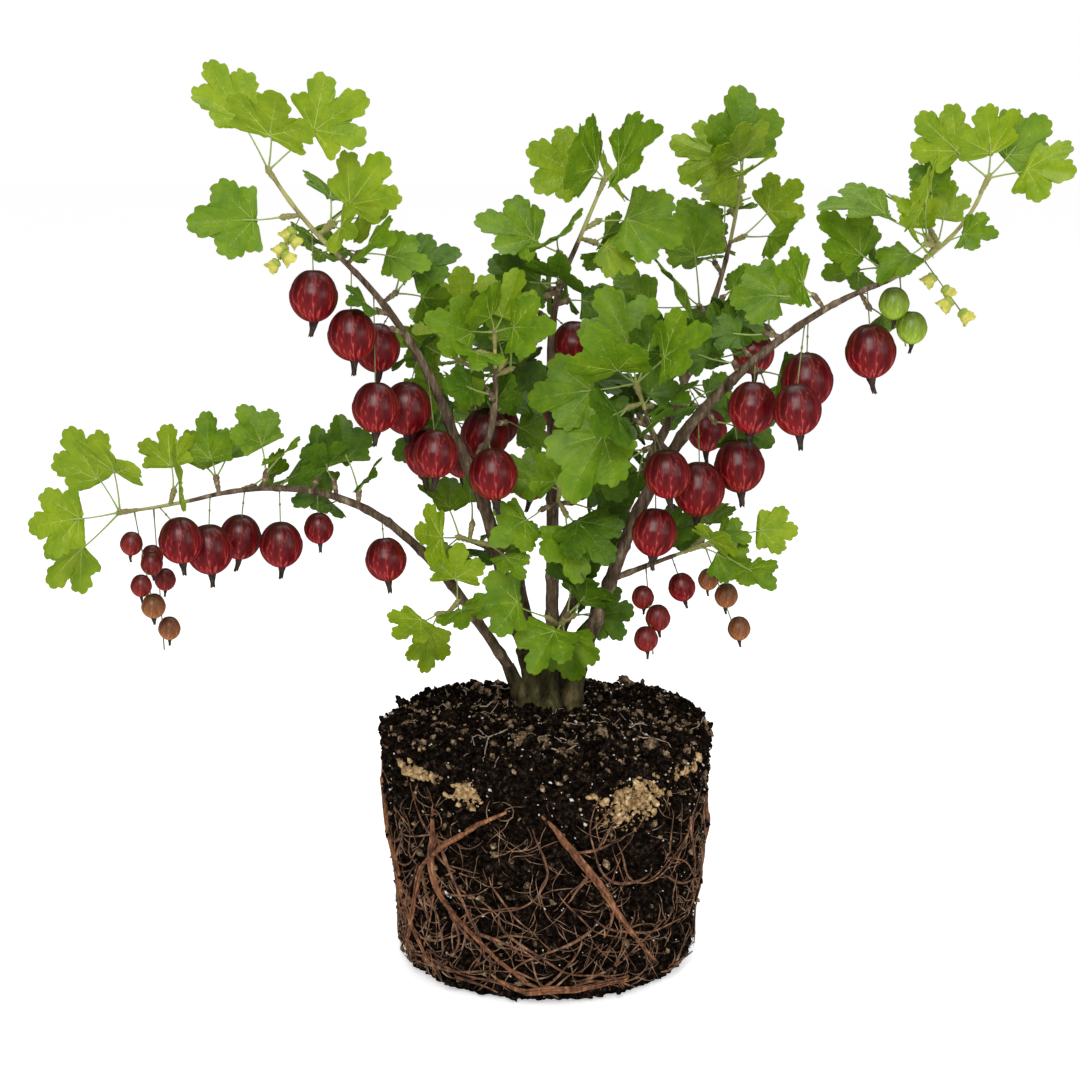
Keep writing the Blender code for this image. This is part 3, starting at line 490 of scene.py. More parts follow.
# Name: (tones from dark to pale, grain, roughness, depth of the bump, its grain, stretch, spots,
# gloss), where the later ones may be left out
FINISHES = {
    "stalk_green": (((0.230, 0.330, 0.060), (0.330, 0.400, 0.110)), 160, 0.5),
    "spur_bark": (((0.070, 0.042, 0.024), (0.190, 0.130, 0.080)), 260, 0.85, 0.0003, 900),
    "bud_scales": (((0.250, 0.260, 0.060), (0.330, 0.240, 0.100)), 200, 0.6),
    "thorn_brown": (((0.060, 0.030, 0.020), (0.110, 0.060, 0.035)), 300, 0.6),
    "young_spur": (((0.170, 0.150, 0.045), (0.290, 0.290, 0.080)), 260, 0.65, 0.0002, 900),
    "tail_brown": (((0.010, 0.006, 0.005), (0.060, 0.034, 0.022)), 500, 0.85, 0.0003, 1500),
    "pedicel_green": (((0.120, 0.140, 0.030), (0.230, 0.240, 0.070)), 200, 0.6),
    "petal_yellow": (((0.340, 0.360, 0.030), (0.640, 0.560, 0.110)), 400, 0.6),
    "flower_green": (((0.200, 0.280, 0.025), (0.360, 0.410, 0.060)), 400, 0.6),
    "old_bark": (((0.020, 0.012, 0.006), (0.075, 0.047, 0.026), (0.150, 0.104, 0.062),
                  (0.340, 0.270, 0.180)), 320, 0.88, 0.0009, 700, 0.22, 0.7, 0.3),
    "shoot_green": (((0.200, 0.180, 0.060), (0.360, 0.330, 0.110), (0.300, 0.360, 0.090)), 120,
                    0.6, 0.0002, 600),
    "stump_bark": (((0.010, 0.007, 0.004), (0.045, 0.033, 0.014), (0.070, 0.068, 0.020),
                    (0.190, 0.130, 0.075)), 220, 0.9, 0.0012, 500, 0.3, 0.6, 0.2),
    "compost_black": (((0.0008, 0.0005, 0.0004), (0.002, 0.0013, 0.0009), (0.013, 0.008, 0.005),
                       (0.100, 0.068, 0.045)), 360, 0.9, 0.0012, 800, 1, 0.78, 0.03),
    "brown_crumb": (((0.006, 0.004, 0.002), (0.046, 0.029, 0.016), (0.230, 0.155, 0.090),
                     (0.600, 0.470, 0.320)), 420, 0.95, 0.0005, 1200, 1, 0.78, 0.05),
    "white_speck": (((0.420, 0.400, 0.360), (0.750, 0.730, 0.680)), 500, 0.9),
    "pale_lump": (((0.050, 0.028, 0.012), (0.250, 0.150, 0.065), (0.480, 0.330, 0.160),
                   (0.800, 0.640, 0.400)), 380, 0.92, 0.0006, 1500, 1, 0.72, 0.15),
    "root_rust": (((0.022, 0.009, 0.005), (0.120, 0.046, 0.020), (0.270, 0.110, 0.045),
                   (0.500, 0.260, 0.140)), 330, 0.75, 0.001, 600, 0.4, 0.72, 0.25),
    "root_tawny": (((0.022, 0.010, 0.006), (0.085, 0.036, 0.018), (0.200, 0.092, 0.044),
                    (0.400, 0.230, 0.130)), 240, 0.75, 0.0004, 1100, 0.6, 0.7, 0.3),
    "root_straw": (((0.040, 0.020, 0.011), (0.170, 0.090, 0.048), (0.420, 0.280, 0.175)), 200,
                   0.75, 0, 0, 1, 0.7, 0.3),
    "root_cream": (((0.230, 0.160, 0.110), (0.420, 0.330, 0.250)), 200, 0.8),
}

# Studio
CAMERA_PLACE = (-0.003, -1.010, 0.398)
CAMERA_TILT = 79.4
CAMERA_LENS = 70.4
SKY_LIGHT = 0.62
SKY_SHINE = 0.08
FLOOR_GLOW = 0.48
FLOOR_SIZE = 40
FLOOR_HEIGHT = -0.0005
# Lights: (name, place, what it aims at, size, power)
LIGHTS = (
    ("key_light", (-0.20, -1.20, 1.20), (0, 0, 0.22), 0.7, 11),
    ("fill_light", (0.90, -0.80, 0.60), (0, 0, 0.22), 0.8, 3),
    ("top_light", (0.10, 0.25, 1.30), (0, 0, 0.22), 0.9, 6),
)


def shown(name, data):
    """A new object in the scene."""
    made = bpy.data.objects.new(name, data)
    bpy.context.scene.collection.objects.link(made)
    return made


def picked(*objects):
    """Selects these objects alone, the first of them active."""
    bpy.ops.object.select_all(action="DESELECT")
    for obj in objects:
        obj.select_set(True)
        bpy.context.view_layer.objects.active = objects[0]


def around(turn, radius=1, height=0):
    """A point at this compass turn, in radians, and at this radius and height about +Z."""
    return Vector((math.cos(turn) * radius, math.sin(turn) * radius, height))


def applied_mesh(obj):
    """The object's mesh as its modifiers leave it, with its seams welded. The object is removed."""
    bpy.context.view_layer.update()
    graph = bpy.context.evaluated_depsgraph_get()
    mesh = bpy.data.meshes.new_from_object(obj.evaluated_get(graph))
    mesh.transform(obj.matrix_world)
    shape = bmesh.new()
    shape.from_mesh(mesh)
    bmesh.ops.remove_doubles(shape, verts=shape.verts, dist=SEAM)
    shape.to_mesh(mesh)
    shape.free()
    bpy.data.objects.remove(obj, do_unlink=True)
    return mesh


def turned_mesh(profile, sides):
    """A closed body turned about Z from (radius, height) points that run down its outer side."""
    outline = bpy.data.meshes.new("profile")
    edges = [(i, i + 1) for i in range(len(profile) - 1)]
    outline.from_pydata([(radius, 0, height) for radius, height in profile], edges, [])
    obj = shown("profile", outline)
    screw = obj.modifiers.new("turn", "SCREW")
    screw.steps = screw.render_steps = sides
    screw.use_merge_vertices = True
    screw.merge_threshold = SEAM
    return applied_mesh(obj)


def round_curve(name, sides):
    """A curve whose lines are closed tubes with this many sides."""
    curve = bpy.data.curves.new(name, "CURVE")
    curve.dimensions = "3D"
    curve.bevel_depth = 1.0
    curve.bevel_resolution = (sides - 4) // 2
    curve.use_fill_caps = True
    return curve


def add_line(curve, points, radii):
    """Adds a tube through the points, with its radius at each."""
    line = curve.splines.new("POLY")
    line.points.add(len(points) - 1)
    for knot, point, radius in zip(line.points, points, radii):
        knot.co = (*point, 1)
        knot.radius = radius


def tube_mesh(points, radii, sides):
    """A tapered tube along the points, with flat ends."""
    curve = round_curve("tube", sides)
    add_line(curve, points, radii)
    return applied_mesh(shown("tube", curve))


def leaf_mesh():
    """A blade of unit length along +Y, from its heel at the origin. A sphere of one equator is
    flattened: its rim takes the lobes and its poles become the raised and lowered middle."""
    rim = list(LEAF_RIM) + [(LEAF_HEEL, 180)]
    rim += [(share, -angle) for share, angle in reversed(LEAF_RIM[1:])]
    shape = bmesh.new()
    bmesh.ops.create_uvsphere(shape, u_segments=len(rim), v_segments=2, radius=1)
    for vert in shape.verts:
        if abs(vert.co.z) > 0.5:
            middle = -LEAF_DROOP * LEAF_MIDDLE ** 2
            vert.co = (0, LEAF_MIDDLE, middle + math.copysign(LEAF_THICK / 2, vert.co.z))
            continue
        turn = math.atan2(vert.co.x, vert.co.y) % math.tau
        share, angle = rim[round(turn / math.tau * len(rim)) % len(rim)]
        across = share * math.sin(math.radians(angle))
        along = share * math.cos(math.radians(angle))
        vert.co = (across, along, LEAF_FOLD * abs(across) - LEAF_DROOP * along * along)
    return finished("leaf", shape)


def cone_mesh(name, sides, foot, tip, long):
    """A cone with flat ends along +Y from the origin."""
    shape = bmesh.new()
    bmesh.ops.create_cone(shape, cap_ends=True, segments=sides, radius1=foot, radius2=tip,
                          depth=long)
    bmesh.ops.translate(shape, verts=shape.verts, vec=(0, 0, long / 2))
    bmesh.ops.rotate(shape, verts=shape.verts, matrix=Matrix.Rotation(-math.pi / 2, 3, "X"))
    return finished(name, shape)


def spur_mesh():
    """A four-sided spindle along +Y from the origin, of unit length and unit radius, widest at the
    bud near its end."""
    shape = bmesh.new()
    bmesh.ops.create_uvsphere(shape, u_segments=4, v_segments=2, radius=1)
    for vert in shape.verts:
        x, y, z = vert.co
        vert.co = (x, float(z > 0) if abs(z) > 0.5 else BUD_PLACE, y)
    return finished("spur", shape)


def berry_mesh(name, sides, rings):
    """A berry of unit radius that hangs along +Y from its stalk at the origin, with the withered
    flower as a thin tail."""
    tall = 2 * BERRY_TALL
    profile = [(0, tall + BERRY_TAIL), (TAIL_RADIUS, tall * 0.98)]
    for angle in rings:
        turn = math.radians(angle)
        profile.append((math.sin(turn), tall * (1 - math.cos(turn)) / 2))
    mesh = turned_mesh(profile + [(0, 0)], sides)
    mesh.transform(Matrix.Rotation(-math.pi / 2, 4, "X"))
    mesh.name = name
    return mesh


def finished(name, shape):
    """The shape as a mesh, faced outwards."""
    bmesh.ops.recalc_face_normals(shape, faces=shape.faces)
    mesh = bpy.data.meshes.new(name)
    shape.to_mesh(mesh)
    shape.free()
    return mesh


def unit_shapes():
    """The plain shapes of the solids, of unit size, to find room for what grows."""
    return {"leaf": leaf_mesh(), "rod": cone_mesh("rod", 3, 1, 0.75, 1), "spur": spur_mesh(),
            "flower": cone_mesh("flower", 4, 0.35, 1.0, FLOWER_LONG),
            "berry": berry_mesh("berry", BERRY_SIDES, BERRY_RINGS),
            "bead": berry_mesh("bead", BEAD_SIDES, BEAD_RINGS)}


def placed(origin, forward, upward, wide, long):
    """Sets a unit shape at origin: its +Y goes along forward, and its +Z faces upward."""
    forward = forward.normalized()
    upward = (upward - forward * upward.dot(forward)).normalized()
    turn = Matrix((forward.cross(upward), forward, upward)).transposed().to_4x4()
    return Matrix.Translation(origin) @ turn @ Matrix.Diagonal((wide, long, wide, 1))


def heading(lean, depth):
    """A direction that leans from upright towards +X, and towards the viewer at -Y."""
    side, toward = math.radians(lean), math.radians(depth)
    return Vector((math.sin(side) * math.cos(toward), -math.sin(toward),
                   math.cos(side) * math.cos(toward)))


def between(values, share):
    """The value at a share of the way through the values."""
    place = share * (len(values) - 1)
    low = min(int(place), len(values) - 2)
    return values[low] + (values[low + 1] - values[low]) * (place - low)


def limb_points(start, turn, rises, length):
    """Points along a limb whose rise above level passes evenly through the given angles."""
    compass = math.radians(turn)
    steps = max(3, round(length / LIMB_STEP))
    points = [Vector(start)]
    for step in range(steps):
        rise = math.radians(between(rises, (step + 0.5) / steps))
        run = around(compass, math.cos(rise), math.sin(rise))
        points.append(points[-1] + run * length / steps)
    return points


def point_at(points, share):
    """The point at a share of the way along the points."""
    place = share * (len(points) - 1)
    low = min(int(place), len(points) - 2)
    return points[low].lerp(points[low + 1], place - low)


def tapered(foot, tip, count):
    """Values at even steps from foot to tip."""
    return [foot + (tip - foot) * i / (count - 1) for i in range(count)]


def straight(start, end, radius):
    """Sets the unit rod from start to end."""
    run = end - start
    return placed(start, run, run.orthogonal(), radius, run.length)


def outline_of(mesh, matrix):
    """Box and search tree of a placed shape, to find what touches it."""
    points = [matrix @ vert.co for vert in mesh.vertices]
    low = [min(point[i] for point in points) for i in range(3)]
    high = [max(point[i] for point in points) for i in range(3)]
    return low, high, BVHTree.FromPolygons(points, [tuple(f.vertices) for f in mesh.polygons])


def touches(outline, others):
    """Whether the shape of this outline touches any of the others."""
    low, high, tree = outline
    for other_low, other_high, other_tree in others:
        apart = any(low[i] > other_high[i] or high[i] < other_low[i] for i in range(3))
        if not apart and tree.overlap(other_tree):
            return True
    return False


class Mass:
    """One mass of foliage while it grows."""

    def __init__(self, name, spec, start, shapes, taken):
        self.spec = spec
        self.shapes = shapes
        self.taken = taken
        self.draw = random.Random(name)
        turn, rises, length, self.foot_radius, self.tip_radius = spec["stem"]
        self.points = limb_points(start, turn, rises, length)
        self.woody, self.soft, self.pieces = [], [], []
        self.youth = 1.0

    def try_piece(self, stalk, head_kind, head):
        """Keeps a stalk and what it bears if both have room."""
        body = outline_of(self.shapes[head_kind], head @ Matrix.Scale(ROOM, 4))
        rod = outline_of(self.shapes["rod"], stalk)
        near = self.taken + self.soft
        if touches(body, near + self.woody) or touches(rod, near):
            return False
        self.pieces += [(head_kind + "_stalk", stalk, self.youth), (head_kind, head, self.youth)]
        self.soft.append(outline_of(self.shapes[head_kind], head))
        self.woody.append(rod)
        return True

    def keep(self, kind, matrix, among):
        """Keeps a piece that sits straight on its twig, if no leaf or other mass is in its way."""
        outline = outline_of(self.shapes[kind], matrix)
        if touches(outline, self.taken + self.soft):
            return False
        self.pieces.append((kind, matrix, self.youth))
        among.append(outline)
        return True

    def keep_spur(self, foot, run):
        spur = placed(foot, run, run.orthogonal(), SPUR_RADIUS, SPUR_LENGTH)
        return self.keep("spur", spur, self.woody)

    def wander(self, spread):
        return Vector([self.draw.gauss(0, spread) for _ in range(3)])

    def grow_leaf(self, foot, lean, depth, stalk, blade):
        """A leaf on its stalk. Its upper face looks at the light on its own side of the bush."""
        for attempt in range(TRIES):
            loose = LOOSE_FIRST + LOOSE_MORE * attempt
            toward = depth + self.draw.gauss(0, loose)
            aside = lean + self.draw.gauss(0, loose)
            side = 1 if toward > BACK_DEPTH else -1
            light = Vector((0, -side, LIGHT_RISE)) + self.wander(LIGHT_SPREAD)
            axis = heading(aside, toward)
            neck = foot + axis * stalk
            along = heading(aside + self.draw.gauss(0, LEAF_TWIST), toward + LEAF_NOD * side)
            head = placed(neck, along, light, blade, blade)
            hold = neck + along * blade * LEAF_GRIP
            if self.try_piece(straight(foot + axis * STALK_START, hold, STALK_RADIUS),
                              "leaf", head):
                return

    def grow_fan(self, foot, lean, depth, count, stalk, blade, fan):
        """Leaves fanned about one bud, by turns towards the viewer and away."""
        for i in range(count):
            place = i - (count - 1) / 2
            near = abs(place) < 0.75 and count > 2
            turned = FAN_DEPTH * (1 if i % 2 else -1) * (count > 1)
            self.grow_leaf(foot, lean + fan * place, depth + turned,
                           stalk * (MIDDLE_STALK if near else 1.0),
                           blade * self.draw.uniform(*BLADE_SPREAD))

    def grow_spur(self, share, lean, depth, count, stalk, blade):
        """A short side twig whose bud bears a fan of leaves."""
        foot = point_at(self.points, share)
        run = heading(lean, depth)
        self.youth = share
        if self.keep_spur(foot, run):
            bud = foot + run * SPUR_LENGTH * BUD_PLACE
            self.grow_fan(bud, lean, depth, count, stalk, blade, SPUR_FAN)

    def hang(self, foot, aside, drop, kind, size):
        """A fruit of this size that hangs from foot on its own thin stalk."""
        for attempt in range(TRIES):
            top = foot + aside + self.wander(SWAY * (1 + attempt)) - Vector((0, 0, drop))
            down = Vector((0, 0, -1)) + self.wander(HANG_SPREAD)
            head = placed(top, down, down.orthogonal(), size, size)
            hold = top + down.normalized() * size * BERRY_HOLD
            if self.try_piece(straight(foot, hold, PEDICEL_RADIUS), kind, head):
                return

    def grow_row(self, first, last, count, drop, radius):
        """Berries that hang one by one below the stem, by turns to the front and the back."""
        for i in range(count):
            share = first + (last - first) * (i / (count - 1) if count > 1 else 0)
            aside = Vector((0, ROW_ASIDE * (1 if i % 2 else -1), 0))
            self.hang(point_at(self.points, share), aside, drop * self.draw.uniform(*DROP_SPREAD),
                      "berry", radius * self.draw.uniform(*BERRY_SPREAD))

    def grow_string(self, kind, share, lean, depth, count, length, radius):
        """Small fruit or flowers by turns on the two sides of a thin hanging stalk."""
        foot = point_at(self.points, share)
        run = heading(lean, depth)
        stalk = straight(foot, foot + run * length, PEDICEL_RADIUS)
        if not self.keep("rod", stalk, self.woody):
            return
        for i in range(count):
            place = foot + run * length * (
                STRING_BARE + (STRING_END - STRING_BARE) * i / (count - 1))
            side = 1 if i % 2 else -1
            size = radius * self.draw.uniform(*BEAD_SPREAD)
            slant = self.draw.uniform(*BEAD_SLANT)
            if kind == "flower":
                way = Vector((side, slant, -1))
                self.keep(kind, placed(place, way, way.orthogonal(), size, size), self.soft)
                continue
            aside = Vector((BEAD_ASIDE, slant, 0)) * side * (i < count - 1)
            top = place + (aside + Vector((0, 0, BEAD_RISE))) * size
            down = Vector((0, 0, -1)) + self.wander(HANG_SPREAD)
            self.keep(kind, placed(top, down, down.orthogonal(), size, size), self.soft)

    def grow(self):
        spec = self.spec
        for string in spec.get("strings", ()):
            self.grow_string("bead", *string)
        for row in spec.get("rows", ()):
            self.grow_row(*row)
        for blossom in spec.get("blossom", ()):
            self.grow_string("flower", *blossom)
        self.youth = 1.0
        lean, fan, count, stalk, blade = spec["tip"]
        run = (self.points[-1] - self.points[-2]).normalized()
        self.keep_spur(self.points[-1] - run * SPUR_LENGTH * BUD_PLACE, run)
        self.grow_fan(self.points[-1], lean, TIP_DEPTH, count, stalk, blade, fan)
        for spur in spec["spurs"]:
            self.grow_spur(*spur)

    def grow_more(self, count):
        """Finer twigs with small leaves, in what room the first ones leave."""
        for _ in range(count):
            self.grow_spur(self.draw.uniform(*MORE_SHARES),
                           self.draw.uniform(-MORE_LEAN, MORE_LEAN),
                           self.draw.uniform(*MORE_DEPTH), self.draw.choice((2, 3)),
                           self.draw.uniform(*MORE_STALK), self.draw.uniform(*MORE_BLADE))


def lumpy(point):
    """Moves a point of the root ball in or out. Its underside and the soil under the stump stay
    flat."""
    out = Vector((point.x, point.y, 0))
    if point.z < 1e-6 or (point.z > SOIL_HEIGHT - 1e-6 and out.length < SOIL_FLAT_RADIUS + 1e-4):
        return point
    lump = noise.noise(point / LUMP_PITCH) * LUMP_DEPTH
    if point.z > BALL_RIM_HEIGHT + 0.002:
        return point + Vector((0, 0, lump))
    return point + out.normalized() * lump


def side_place(turn, height):
    """A point on the lumpy side of the ball, and the way out from it."""
    out = around(turn)
    share = min(height / BALL_RIM_HEIGHT, 1)
    radius = BALL_FOOT_RADIUS + (BALL_RIM_RADIUS - BALL_FOOT_RADIUS) * share
    return lumpy(out * radius + Vector((0, 0, height))), out


def root_paths():
    """Main roots on the ball's side: (points, foot radius). The first follows the thick root that
    shows in front, the next two follow given courses too, and the others are spread round at steps
    of 61 degrees."""
    draw = random.Random("roots")
    courses = [((-83, -70, -60, -44), 0.080, 0.012, 0.0026),
               ((-132, -134, -118, -96), 0.078, 0.010, 0.0020),
               ((-97, -84, -70, -58), 0.007, 0.010, 0.0018)]
    for number in range(ROOT_COUNT - len(courses)):
        first = number * 61 + draw.uniform(-12, 12)
        turns = [first + draw.gauss(0, 4) + 14 * i * draw.choice((1, -1)) for i in range(4)]
        courses.append((turns, draw.uniform(0.07, 0.095), 0.010, draw.uniform(0.0014, 0.0020)))
    paths = []
    for turns, top, low, radius in courses:
        points = []
        for step in range(ROOT_STEPS + 1):
            share = step / ROOT_STEPS
            turn = math.radians(between(turns, share))
            surface, out = side_place(turn, top + (low - top) * share)
            sink = radius * (ROOT_END_SINK if step in (0, ROOT_STEPS) else ROOT_SINK)
            points.append(surface - out * sink)
        paths.append((points, radius))
    return paths


def bough_points(spec):
    """The bough's arc, led back into the stump so that it comes out of the wood."""
    points = limb_points(*spec[:4])
    core = Vector((STUMP_PLACE.x, STUMP_PLACE.y, points[0].z - CORE_SINK))
    return [points[0].lerp(core, CORE_SHARE)] + points


def bough_space(spec):
    """The bough, larger all round and longer by the clearance that other solids keep from it."""
    points = bough_points(spec)
    points[-1] = points[-1] + (points[-1] - points[-2]).normalized() * CLEARANCE
    foot, tip = spec[-2:]
    radii = [foot] + tapered(foot, tip, len(points) - 1)
    return tube_mesh(points, [radius + CLEARANCE for radius in radii], BOUGH_SIDES)


def stem_start(spec):
    """A mass's stem begins inside its bough, whose space is cut away from it."""
    points = limb_points(*BOUGHS[spec["bough"]][:4])
    return point_at(points, spec["beside"]) if "beside" in spec else points[-1]


def outline_once(mesh):
    """The outline of a mesh that isn't needed again."""
    found = outline_of(mesh, Matrix.Identity(4))
    bpy.data.meshes.remove(mesh)
    return found


def kept_clear(masses, mass, outlines):
    """Every other mass keeps clear of these outlines."""
    for other in masses.values():
        if other is not mass:
            other.taken += outlines


def grow_masses(shapes):
    """Every mass in turn, each kept clear of all boughs and of the masses before it."""
    limbs = [outline_once(bough_space(spec)) for spec in BOUGHS.values()]
    masses = {name: Mass(name, spec, stem_start(spec), shapes, list(limbs))
              for name, spec in MASSES.items()}
    for mass in masses.values():
        radii = tapered(mass.foot_radius + CLEARANCE, mass.tip_radius + CLEARANCE,
                        len(mass.points))
        mass.woody.append(outline_once(tube_mesh(mass.points, radii, STEM_SIDES)))
        kept_clear(masses, mass, mass.woody)
    for mass in masses.values():
        mass.grow()
        kept_clear(masses, mass, mass.soft + mass.woody[1:])
    for name, mass in masses.items():
        soft, woody = len(mass.soft), len(mass.woody)
        mass.grow_more(MORE_TWIGS[name])
        kept_clear(masses, mass, mass.soft[soft:] + mass.woody[woody:])
    for name, rows in MORE_ROWS.items():
        mass = masses[name]
        for first, last, count, drop, radius in rows:
            for number in range(count):
                share = first + (last - first) * number / max(count - 1, 1)
                mass.hang(point_at(mass.points, share), Vector((0, -MORE_ASIDE, 0)),
                          drop * mass.draw.uniform(*DROP_SPREAD), "berry", radius)
    for mesh in shapes.values():
        bpy.data.meshes.remove(mesh)
    clear_view(masses)
    return masses


def clear_view(masses):
    """Takes away the side leaves, with their stalks, that hide a ripe berry from the viewer."""
    eye = Vector(CAMERA_PLACE)
    berries = [(matrix @ Vector((0, 1, 0)), matrix.to_scale().x)
               for mass in masses.values() for kind, matrix, _ in mass.pieces if kind == "berry"]
    for mass in masses.values():
        kept = []
        for kind, matrix, youth in mass.pieces:
            if kind == "leaf" and youth < TIP_YOUTH and hides(matrix, berries, eye):
                kept.pop()
            else:
                kept.append((kind, matrix, youth))
        mass.pieces = kept


def hides(leaf, berries, eye):
    """Whether the leaf stands before a berry, as the eye sees them."""
    middle = leaf @ Vector((0, 0.5, 0))
    wide = leaf.to_scale().x * HIDING_WIDTH
    for centre, radius in berries:
        way = (centre - eye).normalized()
        ahead = (middle - eye).dot(way)
        aside = (middle - eye - way * ahead).length
        nearer = ahead <= (centre - eye).length - radius * 0.5
        if nearer and aside < wide + radius - VIEW_MARGIN:
            return True
    return False


# Modelling


def taken_mesh(obj, name):
    """The object's mesh, by its own name, with the object removed."""
    mesh = obj.data
    bpy.data.objects.remove(obj, do_unlink=True)
    mesh.name = name
    return mesh


def lobe_reach(angle, lobes, heel):
    """How far the blade reaches at this angle from the heel: lobes that widen to round ends, with
    narrow gaps between them, above a straight base."""
    reach = 0
    for middle, length, half in lobes:
        away = math.radians(min(abs(angle - middle), 90))
        end = half * LOBE_ROUND
        run = length - end
        aside = run * math.sin(away)
        if aside < end:
            edge = run * math.cos(away) + math.sqrt(end ** 2 - aside ** 2)
        else:
            edge = half / math.sin(away)
        reach = max(reach, edge)
    below = -math.cos(math.radians(angle))
    return min(reach, heel / below) if below > 1e-4 else reach


def blade_rim(lobes, heel):
    """Even points round the right half of the blade, from its tip to its heel, with teeth."""
    fine = []
    for step in range(361):
        turn = math.radians(step / 2)
        reach = lobe_reach(step / 2, lobes, heel)
        fine.append(Vector((math.sin(turn) * reach, math.cos(turn) * reach, 0)))
    gone = [0]
    for low, high in zip(fine, fine[1:]):
        gone.append(gone[-1] + (high - low).length)
    count = LEAF_POINTS // 2
    rim = []
    for number in range(count + 1):
        want = gone[-1] * number / count
        place = min(max(int(np.searchsorted(gone, want)), 1), len(fine) - 1)
        t = (want - gone[place - 1]) / max(gone[place] - gone[place - 1], 1e-9)
        rim.append(fine[place - 1].lerp(fine[place], t))
    toothed = list(rim)
    for number in range(1, count - 7):
        along = (rim[number + 1] - rim[number - 1]).normalized()
        out = Vector((-along.y, along.x, 0))
        toothed[number] = rim[number] + out * TOOTH_DEPTH * TOOTH[number % len(TOOTH)]
    return toothed


def blade_height(across, along, share, shape, lobes):
    """The blade's surface above its own plane, in shares of its length."""
    fold, droop, wave, phase, curl = shape
    angle = math.degrees(math.atan2(abs(across), along))
    near = min(abs(angle - middle) / 20 for middle, _, _ in lobes)
    quilt = QUILT * min(near, 1) ** 1.5 * math.hypot(across, along)
    return (fold * abs(across) - droop * along * along + quilt
            + wave * share ** 3 * math.sin(math.radians(angle) * 5 + phase)
            + curl * share ** 4)


def leaf_form(name, draw, young):
    """A lobed and toothed leaf of unit length with its veins: a disc with inset rings, pulled to
    the blade's outline, thickened, and veined on both faces."""
    picked()
    bpy.ops.mesh.primitive_circle_add(vertices=LEAF_POINTS, radius=1, fill_type="NGON")
    leaf = bpy.context.active_object
    for _ in range(3):
        leaf.data.materials.append(None)
    bpy.ops.object.mode_set(mode="EDIT")
    for depth in LEAF_INSETS:
        bpy.ops.mesh.inset(thickness=depth)
    bpy.ops.mesh.poke()
    bpy.ops.object.mode_set(mode="OBJECT")
    narrow = draw.uniform(*LOBE_SLIMNESS)
    spread = draw.uniform(*LOBE_SPREAD)
    lobes = [(middle * spread, length * draw.uniform(*LOBE_LENGTHS), half * narrow)
             for middle, length, half in LOBES]
    heel = draw.uniform(*HEELS)
    rim = blade_rim(lobes, heel)
    shape = [draw.uniform(*pair) for pair in (YOUNG_BLADE if young else OLDER_BLADE) + BLADE_WAVES]
    step = math.tau / LEAF_POINTS
    for vert in leaf.data.vertices:
        share = min(vert.co.length, 1)
        turn = math.atan2(vert.co.x, vert.co.y)
        edge = rim[min(round(abs(turn) / step), LEAF_POINTS // 2)]
        across = math.copysign(edge.x, turn) * share
        along = edge.y * share
        vert.co = (across, along, blade_height(across, along, share, shape, lobes))
    thick = leaf.modifiers.new("thick", "SOLIDIFY")
    thick.thickness = BLADE_THICK
    thick.offset = 0
    thick.material_offset = 1
    bpy.context.view_layer.objects.active = leaf
    bpy.ops.object.modifier_apply(modifier=thick.name)
    blade_faces = len(leaf.data.polygons)
    tree = BVHTree.FromPolygons([vert.co.copy() for vert in leaf.data.vertices],
                                [tuple(face.vertices) for face in leaf.data.polygons])
    veins = vein_object(lobes, tree)
    picked(leaf, veins)
    bpy.ops.object.join()
    for number, face in enumerate(leaf.data.polygons):
        if number >= blade_faces:
            face.material_index = 2
    return taken_mesh(leaf, name)


def vein_object(lobes, blade):
    """Thin tapered ridges from the heel to each lobe's tip, with side veins to the teeth."""
    curve = round_curve("veins", 4)
    for middle, length, _ in lobes:
        for side in ((1,) if middle == 0 else (1, -1)):
            turn = math.radians(middle) * side
            tip = Vector((math.sin(turn), math.cos(turn), 0)) * length * 0.95
            vein_line(curve, Vector((0, 0, 0)), tip, VEIN_RADIUS * (0.7 + 0.3 * length), blade)
            for start in VEIN_STARTS[length <= 0.7]:
                for way in (1, -1):
                    foot = tip * start
                    swing = Matrix.Rotation(-way * math.radians(VEIN_ANGLE), 3, "Z")
                    end = foot + swing @ tip.normalized() * (0.30 * (1.15 - start))
                    vein_line(curve, foot, end, SIDE_VEIN * (1.2 - 0.6 * start), blade)
    picked(shown("veins", curve))
    bpy.ops.object.convert(target="MESH")
    return bpy.context.active_object


def vein_line(curve, foot, tip, radius, blade):
    """A tapered line that lies in the thickness of the blade."""
    count = 7 if foot.length == 0 else 3
    height = 0
    points = []
    for number in range(count):
        place = foot.lerp(tip, number / (count - 1))
        above = blade.ray_cast(Vector((place.x, place.y, 2)), Vector((0, 0, -1)))[0]
        if above:
            height = above.z - BLADE_THICK / 2
        points.append((place.x, place.y, height))
    add_line(curve, points, tapered(radius, radius * VEIN_END, count))


def rings_form(name, sides, rings, wobble=0.0, draw=None):
    """A round body along +Y through (distance, radius) rings, extruded ring by ring."""
    picked()
    bpy.ops.mesh.primitive_circle_add(vertices=sides, radius=1, fill_type="NGON",
                                      rotation=(math.pi / 2, 0, 0))
    body = bpy.context.active_object
    bpy.ops.object.transform_apply(location=False, rotation=True, scale=False)
    bpy.ops.object.mode_set(mode="EDIT")
    bpy.ops.mesh.select_all(action="SELECT")
    for _ in rings[1:]:
        bpy.ops.mesh.extrude_region_move(TRANSFORM_OT_translate={"value": (0, 1, 0)})
    bpy.ops.object.mode_set(mode="OBJECT")
    for vert in body.data.vertices:
        distance, radius = rings[round(vert.co.y)]
        loose = 1 + (draw.uniform(-wobble, wobble) if draw else 0)
        vert.co = (vert.co.x * radius * loose, distance, vert.co.z * radius * loose)
    faced_out(body)
    return taken_mesh(body, name)


